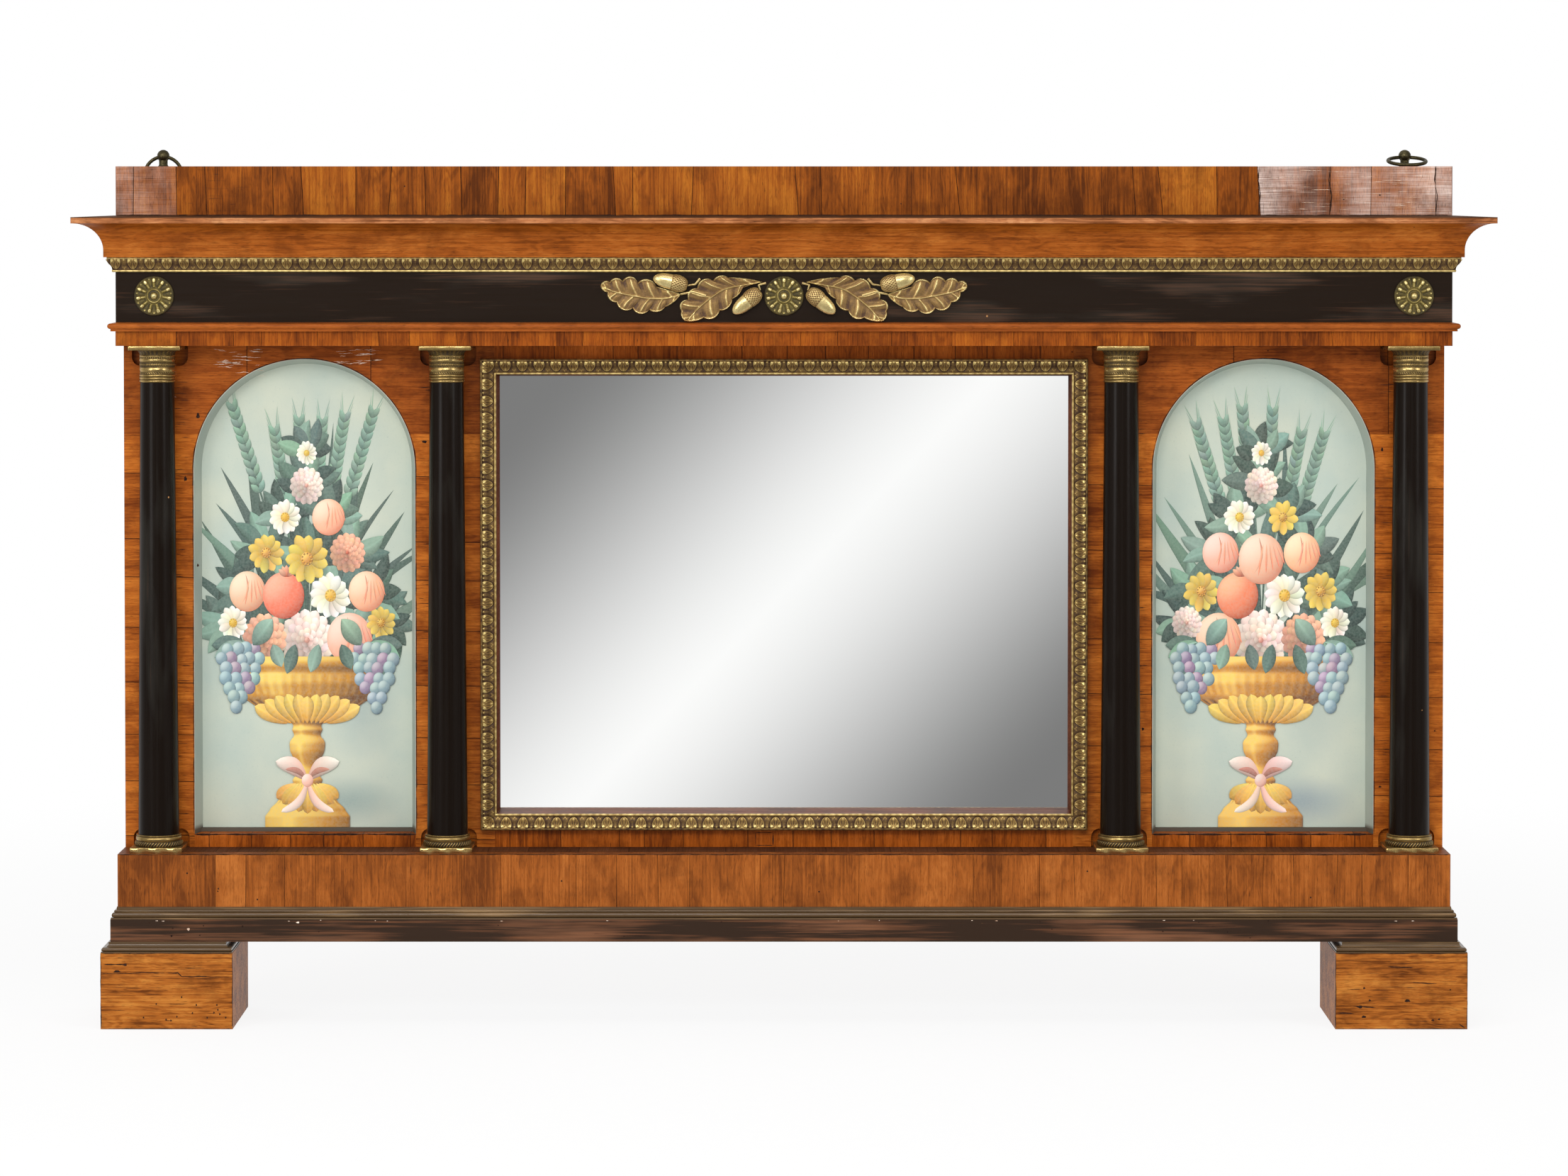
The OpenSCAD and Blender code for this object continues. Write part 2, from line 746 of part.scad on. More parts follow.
// Bar that narrows from a to b
module vein(a, b, w_a, w_b) {
  n = square_to(a, b) / 2;
  polygon([a - n * w_a, b - n * w_b, b + n * w_b, a + n * w_a]);
}

// Veins from the middle line to the lobes of one edge
module veins(rows, rib, length, side) {
  for (i = [2:len(rows) - 1]) {
    a = at(rows[i - 1], length);
    b = at(rows[i], length);
    crest = (a + b) / 2 + square_to(a, b) * side * leaf_w * rows[i][2];
    m = rib_at(crest, rib, length);
    vein(m, crest + (m - crest) * 0.7 * rim_w / norm(m - crest), 1.6, 0.9);
  }
}

// Oak leaf: a flat blade with a raised rim, a middle rib and veins
module oak_leaf(length, near, far, rib) {
  near_edge = lobed(near, length, -1);
  far_edge = lobed(far, length, 1);
  tip = [length, 0];
  difference() {
    linear_extrude(leaf_t + rim_h) polygon(concat(near_edge, [tip], turned(far_edge)));
    translate([0, 0, leaf_t])
      linear_extrude(rim_h + 1)
        polygon(concat(sunk(near_edge, rib, length), turned(sunk(far_edge, rib, length))));
  }
  linear_extrude(leaf_t + vein_h) {
    veins(near, rib, length, -1);
    veins(far, rib, length, 1);
  }
  linear_extrude(leaf_t + rim_h - 0.1)
    for (i = [1:len(rib) - 1]) vein(at(rib[i - 1], length), at(rib[i], length), 3 - 0.3 * i, 2.7 - 0.3 * i);
}

// Acorn lying on its side with its cup at the start: nut and cup, cut flat where it sits on its stem
module acorn() {
  cup_r = acorn_l * 0.235;
  nut_r = acorn_l * 0.205;
  nut_l = acorn_l - cup_r;
  steps = 9;
  side = [for (k = [0:steps - 1]) [nut_r * pow(cos(90 * k / steps), 0.55), nut_l * k / steps]];
  difference() {
    translate([cup_r, 0, 1])
      rotate([0, 90, 0])
        union() {
          rotate_extrude($fn = 48) polygon(concat([[0, -1]], [[nut_r, -1]], side, [[0, nut_l]]));
          intersection() {
            sphere(cup_r, $fn = 48);
            translate([-cup_r - 1, -cup_r - 1, -cup_r - 1]) cube([2 * cup_r + 2, 2 * cup_r + 2, cup_r + 2.6]);
          }
        }
    translate([-acorn_l, -acorn_l, -acorn_l]) cube([3 * acorn_l, 2 * acorn_l, acorn_l]);
  }
}

// Round stem from a to b, lying flat on the frieze's face
module stem(a, b, w) {
  linear_extrude(leaf_t) {
    vein(a, b, w, w);
    translate(a) circle(w / 2, $fn = 24);
    translate(b) circle(w / 2, $fn = 24);
  }
}

// Mount on the left half of the frieze, one casting: an inner leaf whose stem starts beside the
// rosette, an outer leaf that starts behind its tip, and an acorn at the stem of each
module oak_mount() {
  stem_w = leaf_w / 10;
  inner = [-rosette_d / 2 - 1.5, 0.48 * leaf_w];
  outer = inner + leaf_inner_l * [-0.948, -0.137];
  inner_acorn = inner + acorn_l * [-0.072, -0.24];
  outer_acorn = outer + acorn_l * [0.161, 0.26];
  translate([0, py(entab_d), z_ornament - 1.75])
    rotate([90, 0, 0]) {
      translate(inner) rotate([0, 0, 207.7]) oak_leaf(leaf_inner_l, inner_near, inner_far, inner_rib);
      translate(outer) rotate([0, 0, 174.6]) oak_leaf(leaf_outer_l, outer_near, outer_far, outer_rib);
      translate([inner_acorn[0], inner_acorn[1], leaf_t]) rotate([0, 0, 219.9]) acorn();
      translate([outer_acorn[0], outer_acorn[1], leaf_t]) rotate([0, 0, 167]) acorn();
      stem(inner, inner_acorn + acorn_l * [-0.1, -0.08], stem_w);
      stem(outer, outer_acorn + acorn_l * [-0.1, 0.02], stem_w);
      stem(outer_acorn, outer_acorn + leaf_inner_l * [0.13, 0.03], stem_w);
    }
}

module foot_left() { color(walnut) mirror([1, 0, 0]) foot(); }
module foot_right() { color(walnut) foot(); }
module foot_mouldings() { color(ebony) pair() foot_moulding(); }
module base_board() { color(ebony) board(-half_base, half_base, 0, base_d, z_foot_moulding, z_base_board); }
module base_moulding() {
  color(ebony) wrap(half_case, plinth_d, z_base_board, base_moulding_h, base_out) base_profile();
}
module plinth_front() {
  color(walnut) board(-half_case, half_case, plinth_d - board_t, plinth_d, z_base_board, z_plinth);
}
module plinth_sides() {
  color(walnut) pair() board(half_case - board_t, half_case, 0, plinth_d - board_t, z_base_board, z_plinth);
}
module plinth_shelf() {
  color(walnut_dark)
    board(board_t - half_case, half_case - board_t, 0, plinth_d - board_t, z_plinth - board_t, z_plinth);
}
module case_sides() {
  color(walnut) pair() board(half_case - board_t, half_case, 0, case_d, z_plinth, z_columns);
}
module back_board() {
  color(pine) board(board_t - half_case, half_case - board_t, 1, 1 + back_t, z_plinth, z_columns);
}
module stile_outer_left() { color(walnut) mirror([1, 0, 0]) stile_outer(); }
module stile_outer_right() { color(walnut) stile_outer(); }
module stile_inner_left() { color(walnut) mirror([1, 0, 0]) stile_inner(); }
module stile_inner_right() { color(walnut) stile_inner(); }
module arch_head_left() { color(walnut) mirror([1, 0, 0]) arch_head(); }
module arch_head_right() { color(walnut) arch_head(); }
module rail_left() {
  color(walnut) board(-arch_x - arch_r, arch_r - arch_x, case_d, face_p, z_plinth, z_sill);
}
module rail_right() {
  color(walnut) board(arch_x - arch_r, arch_x + arch_r, case_d, face_p, z_plinth, z_sill);
}
module rail_bottom() { color(walnut) board(-void_w / 2, void_w / 2, case_d, face_p, z_plinth, z_void_low); }
module rail_top() { color(walnut) board(-void_w / 2, void_w / 2, case_d, face_p, z_void_high, z_columns); }
module arch_lining_left() { color(paint) mirror([1, 0, 0]) arch_lining(); }
module arch_lining_right() { color(paint) arch_lining(); }
module painted_panel_left() { color(paint) mirror([1, 0, 0]) painted_panel(); }
module painted_panel_right() { color(paint) painted_panel(); }
module mirror_glass() {
  color("silver")
    board(-void_w / 2 - lap, void_w / 2 + lap, case_d - glass_t, case_d, z_void_low - lap, z_void_high + lap);
}
module mirror_back() {
  color(pine) board(-void_w / 2 - lap, void_w / 2 + lap, case_d - glass_t - back_t, case_d - glass_t,
    z_void_low - lap, z_void_high + lap);
}
module mirror_slip() { color(walnut_dark) slip_frame(); }
module gallery() { color(brass) gallery_frame(); }
module shaft_outer_left() { color(ebony) shaft(-outer_x); }
module shaft_outer_right() { color(ebony) shaft(outer_x); }
module shaft_inner_left() { color(ebony) shaft(-inner_x); }
module shaft_inner_right() { color(ebony) shaft(inner_x); }
module base_outer_left() { color(brass) column_base(-outer_x); }
module base_outer_right() { color(brass) column_base(outer_x); }
module base_inner_left() { color(brass) column_base(-inner_x); }
module base_inner_right() { color(brass) column_base(inner_x); }
module capital_outer_left() { color(brass) capital(-outer_x); }
module capital_outer_right() { color(brass) capital(outer_x); }
module capital_inner_left() { color(brass) capital(-inner_x); }
module capital_inner_right() { color(brass) capital(inner_x); }
module fascia() { color(walnut) board(-half_entab, half_entab, 0, entab_d, z_columns, z_fascia); }
module architrave_strip() {
  color(walnut) wrap(half_entab, entab_d, z_fascia, strip_h, strip_out) strip_profile();
}
module frieze_front() {
  color(ebony) board(-half_entab, half_entab, entab_d - board_t, entab_d, z_fascia, z_cornice);
}
module frieze_sides() {
  color(ebony) pair() board(half_entab - board_t, half_entab, 0, entab_d - board_t, z_fascia, z_cornice);
}
module leaf_band() { color(brass) wrap(half_entab, entab_d, z_frieze, band_h, band_out) band_profile(); }
module cornice_moulding() {
  color(walnut) wrap(half_entab, entab_d, z_band, z_cornice - z_band, cornice_out) cornice_profile();
}

// Top of the cornice: level under the parapet, sloping down to the edge in front and at the ends
module cornice_top() {
  edge = 0.8;
  half_w = half_entab + cornice_out;
  color(walnut_dark)
    intersection() {
      translate([-half_w, wall_y, z_cornice])
        rotate([90, 0, 90])
          linear_extrude(2 * half_w)
            mirror([1, 0])
              polygon([[0, 0], [total_d, 0], [total_d, edge], [parapet_d + 2, deck_rise], [0, deck_rise]]);
      translate([0, wall_y, z_cornice])
        rotate([90, 0, 0])
          linear_extrude(total_d)
            polygon([
              [-half_w, 0],
              [half_w, 0],
              [half_w, edge],
              [half_entab + 2, deck_rise],
              [-half_entab - 2, deck_rise],
              [-half_w, edge]
            ]);
    }
}
module parapet_front() {
  color(walnut) board(-half_entab, half_entab, parapet_d - board_t, parapet_d, z_deck, z_parapet);
}
module parapet_ends() {
  color(walnut) pair()
    board(half_entab - board_t, half_entab, parapet_back_p, parapet_d - board_t, z_deck, z_parapet);
}
module parapet_top() {
  color(walnut) board(board_t - half_entab, half_entab - board_t, parapet_back_p, parapet_d - board_t,
    z_parapet - parapet_top_t, z_parapet);
}
module parapet_back() {
  color(pine) board(board_t - half_entab, half_entab - board_t, parapet_back_p, parapet_back_p + board_t,
    z_deck, z_parapet - parapet_top_t);
}
module hanger_left() { color(bronze) mirror([1, 0, 0]) hanger(); }
module hanger_right() { color(bronze) hanger(); }
module ring_left() { color(bronze) ring(-ring_x, 0); }
module ring_right() { color(bronze) ring(ring_x, 90 - ring_lie); }
module rosettes() { color(brass) for (x = [-outer_x, 0, outer_x]) rosette(x); }
module oak_mount_left() { color(brass) oak_mount(); }
module oak_mount_right() { color(brass) mirror([1, 0, 0]) oak_mount(); }

foot_left();
foot_right();
foot_mouldings();
base_board();
base_moulding();
plinth_front();
plinth_sides();
plinth_shelf();
case_sides();
back_board();
stile_outer_left();
stile_outer_right();
stile_inner_left();
stile_inner_right();
arch_head_left();
arch_head_right();
rail_left();
rail_right();
rail_bottom();
rail_top();
arch_lining_left();
arch_lining_right();
painted_panel_left();
painted_panel_right();
mirror_glass();
mirror_back();
mirror_slip();
gallery();
shaft_outer_left();
shaft_outer_right();
shaft_inner_left();
shaft_inner_right();
base_outer_left();
base_outer_right();
base_inner_left();
base_inner_right();
capital_outer_left();
capital_outer_right();
capital_inner_left();
capital_inner_right();
fascia();
architrave_strip();
frieze_front();
frieze_sides();
leaf_band();
cornice_moulding();
cornice_top();
parapet_front();
parapet_ends();
parapet_top();
parapet_back();
hanger_left();
hanger_right();
ring_left();
ring_right();
rosettes();
oak_mount_left();
oak_mount_right();
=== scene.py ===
# %% [markdown]
# # An overmantel mirror in veneer, ebonised wood and stamped brass
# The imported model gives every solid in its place: boards, mouldings, columns, glass and hanging rings.
# This lesson dresses it. It adds the thin things that a solid model leaves out, such as veneer leaves,
# stamped leaf ornament and paint, and it gives each surface the material of the real one.

import math

import bpy
import numpy as np
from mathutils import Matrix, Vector


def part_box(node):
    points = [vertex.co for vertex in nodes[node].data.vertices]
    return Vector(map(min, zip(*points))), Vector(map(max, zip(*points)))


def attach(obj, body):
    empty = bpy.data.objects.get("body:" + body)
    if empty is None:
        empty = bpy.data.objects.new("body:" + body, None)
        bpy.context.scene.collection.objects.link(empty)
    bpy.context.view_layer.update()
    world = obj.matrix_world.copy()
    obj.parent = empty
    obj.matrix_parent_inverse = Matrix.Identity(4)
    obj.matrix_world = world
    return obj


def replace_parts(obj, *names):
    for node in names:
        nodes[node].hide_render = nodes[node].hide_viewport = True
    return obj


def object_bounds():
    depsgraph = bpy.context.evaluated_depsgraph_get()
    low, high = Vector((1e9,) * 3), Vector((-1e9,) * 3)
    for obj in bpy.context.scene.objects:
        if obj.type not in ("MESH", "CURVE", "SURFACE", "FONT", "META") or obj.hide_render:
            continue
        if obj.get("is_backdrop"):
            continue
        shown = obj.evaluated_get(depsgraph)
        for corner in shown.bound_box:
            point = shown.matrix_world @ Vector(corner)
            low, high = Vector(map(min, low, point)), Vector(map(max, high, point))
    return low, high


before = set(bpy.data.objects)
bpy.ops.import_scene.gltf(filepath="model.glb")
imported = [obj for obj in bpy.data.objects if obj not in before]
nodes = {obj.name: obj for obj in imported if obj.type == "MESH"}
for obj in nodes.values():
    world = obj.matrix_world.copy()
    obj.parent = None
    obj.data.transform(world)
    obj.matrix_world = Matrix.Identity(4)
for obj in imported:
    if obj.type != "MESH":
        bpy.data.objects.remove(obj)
cad_low, cad_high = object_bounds()
print(len(nodes), "solids, from", tuple(cad_low), "to", tuple(cad_high))

# %% [markdown]
# ## Small helpers
# Colours are written as sRGB hex, as a paint chart gives them, and shaders want linear values.
# Materials are trees of nodes, and two small classes give short ways to add a node and join its sockets.
# Meshes are built from arrays of points, with numbers stored on the points for the materials to read.

# %% Colour, node and mesh helpers
MM = 0.001
SOFT = "SMOOTHSTEP"  # a ramp with soft ends


def linear(code):
    """sRGB hex to linear red, green, blue and alpha"""
    parts = [int(code[i : i + 2], 16) / 255 for i in (0, 2, 4)]
    return tuple(c / 12.92 if c <= 0.04045 else ((c + 0.055) / 1.055) ** 2.4 for c in parts) + (1.0,)


def box_mm(name):
    """The low and the high corner of a CAD node, in mm"""
    return (np.array(corner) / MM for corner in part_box(name))


class Nodes:
    """A node tree with short ways to add to it. A socket takes a node's output, a value or a hex code."""

    def __init__(self, tree):
        self.tree = tree

    def add(self, kind, sockets=None, **fields):
        """Adds a node, sets its fields, and links or sets its input sockets. Returns its outputs."""
        node = self.tree.nodes.new("ShaderNode" + kind)
        for name, value in fields.items():
            setattr(node, name, value)
        for name, value in (sockets or {}).items():
            if isinstance(value, bpy.types.NodeSocket):
                self.tree.links.new(value, node.inputs[name])
            else:
                node.inputs[name].default_value = linear(value) if isinstance(value, str) else value
        return node.outputs

    def calc(self, operation, *values, clamp=False):
        return self.add("Math", dict(enumerate(values)), operation=operation, use_clamp=clamp)[0]

    def vector(self, operation, a, b):
        second = "Scale" if operation == "SCALE" else 1
        return self.add("VectorMath", {0: a, second: b}, operation=operation)[0]

    def ramp(self, value, start, end, low=0.0, high=1.0, kind="LINEAR"):
        """low where the value is at start, high where it is at end, and in step between them"""
        sockets = dict(enumerate((value, start, end, low, high)))
        return self.add("MapRange", sockets, interpolation_type=kind)[0]

    def mix(self, share, under, over):
        return self.add("Mix", {0: share, 6: under, 7: over}, data_type="RGBA")[2]

    def noise(self, vector, scale, detail, **more):
        return self.add("TexNoise", {"Vector": vector, "Scale": scale, "Detail": detail, **more})["Fac"]


class Material(Nodes):
    """A new material with a principled shader and its fixed values"""

    def __init__(self, name, **values):
        self.made = bpy.data.materials.new(name)
        self.made.use_nodes = True
        super().__init__(self.made.node_tree)
        self.shader = self.tree.nodes["Principled BSDF"]
        for key, value in values.items():
            self.shader.inputs[key.replace("_", " ")].default_value = value

    def connect(self, **outputs):
        """Links outputs to the shader's inputs"""
        for key, output in outputs.items():
            self.tree.links.new(output, self.shader.inputs[key.replace("_", " ")])

    def place(self):
        return self.add("TexCoord")["Object"]

    def size(self):
        """The place on the piece, in mm"""
        return self.vector("SCALE", self.place(), 1000.0)

    def number(self, name):
        """A number that the mesh stores on its points"""
        return self.add("Attribute", attribute_name=name)["Fac"]

    def grains(self, cut, length, width, detail, **more):
        """Noise drawn out along the first axis of cut; length and width are in mm"""
        return self.noise(
            self.vector("MULTIPLY", cut, (1 / length, 1 / width, 1 / width)), 1.0, detail, **more
        )

    def flight_holes(self, size, apart, rarity, inner, outer, depth):
        """Holes of furniture beetle: depth inside the inner radius and 0 past the outer one, in mm"""
        hole = self.add("TexVoronoi", {"Vector": self.vector("SCALE", size, 1 / apart), "Scale": 1.0})
        rare = self.calc("GREATER_THAN", self.add("SeparateColor", {0: hole["Color"]})[0], rarity)
        return self.calc(
            "MULTIPLY", self.ramp(hole["Distance"], inner / apart, outer / apart, depth, 0.0), rare
        )

    def bump(self, height, distance=0.0001, strength=1.0):
        """Joins relief to the shader's normal, and returns it"""
        normal = self.add("Bump", {"Height": height, "Distance": distance, "Strength": strength})[0]
        self.connect(Normal=normal)
        return normal


def mesh_piece(name, points, faces, material, body="case", smooth=True, slot=None, **values):
    """A mesh from an array of points in metres, with named numbers on its points, riding on a body"""
    mesh = bpy.data.meshes.new(name)
    mesh.from_pydata([tuple(p) for p in points], [], [tuple(int(i) for i in f) for f in faces])
    for key, array in values.items():
        if np.ndim(array) == 2:
            layer = mesh.color_attributes.new(key, "FLOAT_COLOR", "POINT")
            layer.data.foreach_set("color", np.asarray(array, np.float32).ravel())
        else:
            layer = mesh.attributes.new(key, "FLOAT", "POINT")
            layer.data.foreach_set("value", np.asarray(array, np.float32))
    mesh.polygons.foreach_set("use_smooth", [smooth] * len(mesh.polygons))
    mesh.materials.append(material)
    piece = bpy.data.objects.new(name, mesh)
    bpy.context.scene.collection.objects.link(piece)
    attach(piece, body)
    return piece


def grid_faces(rows, columns, close=False):
    """Quads that join a grid of points, row after row; close joins the last column to the first"""
    r, c = np.meshgrid(np.arange(rows - 1), np.arange(columns if close else columns - 1), indexing="ij")
    d = (c + 1) % columns
    quads = [r * columns + c, r * columns + d, (r + 1) * columns + d, (r + 1) * columns + c]
    return np.stack(quads, -1).reshape(-1, 4)


def points_of(x, y, z):
    """Arrays of x, y and z as one list of points"""
    return np.stack((x, y, z), -1).reshape(-1, 3)


def circle(count):
    """Angles at even steps round a circle"""
    return np.linspace(0, 2 * np.pi, count, endpoint=False)


def aim(turn):
    """Cosine and sine of an angle in degrees"""
    return math.cos(math.radians(turn)), math.sin(math.radians(turn))


def even_steps(path, count=None):
    """Points at even steps along a path: count of them, or one for every 1.8 mm"""
    path = np.array(path, float)
    far = np.concatenate([[0], np.cumsum(np.hypot(*np.diff(path, axis=0).T))])
    t = np.linspace(0, far[-1], count or max(7, int(far[-1] / 1.8)))
    return np.stack([np.interp(t, far, path[:, k]) for k in (0, 1)], -1)


def finish(material, *names):
    """Gives a material to CAD nodes"""
    for name in names:
        mesh = nodes[name].data
        mesh.materials.clear()
        mesh.materials.append(material)


# %% [markdown]
# ## The view
# The photograph was taken square on, with a long lens, from a little above the middle of the mirror, and
# its verticals are parallel. A small tilt down and a small lens shift share the work here: a larger shift
# would keep the verticals truer, but would push the mirror out of the frame in the other views.

# %% Camera
camera = bpy.data.objects.new("camera", bpy.data.cameras.new("camera"))
bpy.context.scene.collection.objects.link(camera)
camera.data.lens = 108.42
camera.data.sensor_width = 36
camera.data.shift_y = -0.15
camera.data.clip_end = 60
camera.location = (0, -4.8743, 0.8258)
camera.rotation_euler = (math.radians(90 - 1.591), 0, 0)
bpy.context.scene.camera = camera
bpy.context.scene.view_settings.view_transform = "Standard"
print("camera", camera.location[:], "lens", camera.data.lens)

# %% [markdown]
# ## Floor, wall of light and lamps
# A studio sweeps white paper under the object. The floor is white to the camera and keeps a soft shadow.
# The world is white to the camera. For reflections it holds a studio's soft light bank seen aslant: a
# white band that fades to grey on both sides, which is what the mirror glass shows.

# %% Floor
floor_mesh = bpy.data.meshes.new("floor")
floor_mesh.from_pydata([(-9, -7, 0), (9, -7, 0), (9, 9, 0), (-9, 9, 0)], [], [(0, 1, 2, 3)])
floor = bpy.data.objects.new("floor", floor_mesh)
bpy.context.scene.collection.objects.link(floor)
paper = Material("matt white paper", Roughness=0.9, IOR=1.5)
place = paper.place()
paper.connect(Base_Color=paper.mix(paper.noise(place, 60.0, 4.0), "f4f4f3", "fbfbfb"))
seen = paper.add("LightPath")["Is Camera Ray"]
reach = paper.add("VectorMath", {0: place}, operation="LENGTH")["Value"]
share = paper.calc("MULTIPLY", seen, paper.ramp(reach, 0.9, 2.2, 0.86, 1.0, SOFT))
glow = paper.add("Emission", {"Color": (1, 1, 1, 1), "Strength": 1.0})[0]
both = paper.add("MixShader", {0: share, 1: paper.shader.outputs[0], 2: glow})[0]
paper.tree.links.new(both, paper.tree.nodes["Material Output"].inputs["Surface"])
floor_mesh.materials.append(paper.made)
floor.visible_glossy = False
floor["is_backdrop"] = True
print("floor", floor.dimensions[:])

# %% World
world = bpy.data.worlds.new("studio")
bpy.context.scene.world = world
world.use_nodes = True
world.node_tree.nodes.clear()
sky = Nodes(world.node_tree)


def between(share, a, b):
    return sky.add("Mix", {0: share, 2: a, 3: b}, data_type="FLOAT")[0]


parts = sky.add("SeparateXYZ", {0: sky.add("TexCoord")["Generated"]})
front = sky.calc("MULTIPLY", parts[1], -1.0)
ahead = sky.calc("MAXIMUM", front, 0.05)
across = sky.calc("DIVIDE", parts[0], ahead)
up = sky.calc("DIVIDE", parts[2], ahead)
# distance from the middle of the white band, in half widths of the band
band_slant, per_half_width, band_middle = -0.97, 10.72, -0.818
slant = sky.calc("MULTIPLY_ADD", up, band_slant, across)
slant = sky.calc("ABSOLUTE", sky.calc("MULTIPLY_ADD", slant, per_half_width, band_middle))
fade = sky.ramp(slant, -0.12, 1.0, 1.05, 0.21, SOFT)
# round the band the studio is dim in front, brighter to the sides and pale behind the mirror
side = sky.ramp(front, 0.95, 0.35, 0.09, 0.38, SOFT)
rear = sky.ramp(front, 0.1, -0.3, 0.0, 0.4, SOFT)
bank = between(sky.ramp(slant, 1.05, 1.8, kind=SOFT), fade, sky.calc("ADD", side, rear))
rays = sky.add("LightPath")
strength = between(rays["Is Camera Ray"], between(rays["Is Glossy Ray"], 0.62, bank), 1.0)
light = sky.add("Background", {"Color": (1, 1, 1, 1), "Strength": strength})[0]
sky.add("OutputWorld", {"Surface": light})
print("world: white to the camera, a slanting bank of light in reflections")

# %% Lamps
for name, where, size, power in (
    ("bank left", (-2.6, -2.9, 1.5), (1.1, 2.6), 38),
    ("bank right", (2.9, -2.7, 1.6), (1.0, 2.4), 26),
    ("bank above", (0.2, -1.6, 3.4), (3.2, 1.2), 22),
    ("bank front", (-0.5, -4.2, 2.5), (2.6, 1.0), 68),
):
    lamp = bpy.data.lights.new(name, "AREA")
    lamp.shape = "RECTANGLE"
    lamp.size, lamp.size_y = size
    lamp.energy = power
    holder = bpy.data.objects.new(name, lamp)
    holder.location = where
    holder.rotation_euler = (Vector((0, 0, 0.45)) - Vector(where)).to_track_quat("-Z", "Y").to_euler()
    bpy.context.scene.collection.objects.link(holder)
    print(name, power, "W")

# %% [markdown]
# ## Walnut and fruitwood
# The case is pine under knife-cut walnut veneer, laid across the length in short leaves and finished with
# shellac. Walnut shows three scales of pattern: the figure, where the cut meets the growth rings every 10 mm
# or so, the grain streaks of 1 to 2 mm, and pores 0.3 mm wide and some 7 mm long. Each leaf has its own
# tone, because it comes from another place in the log. Old shellac lies in soft waves, which bump gives.

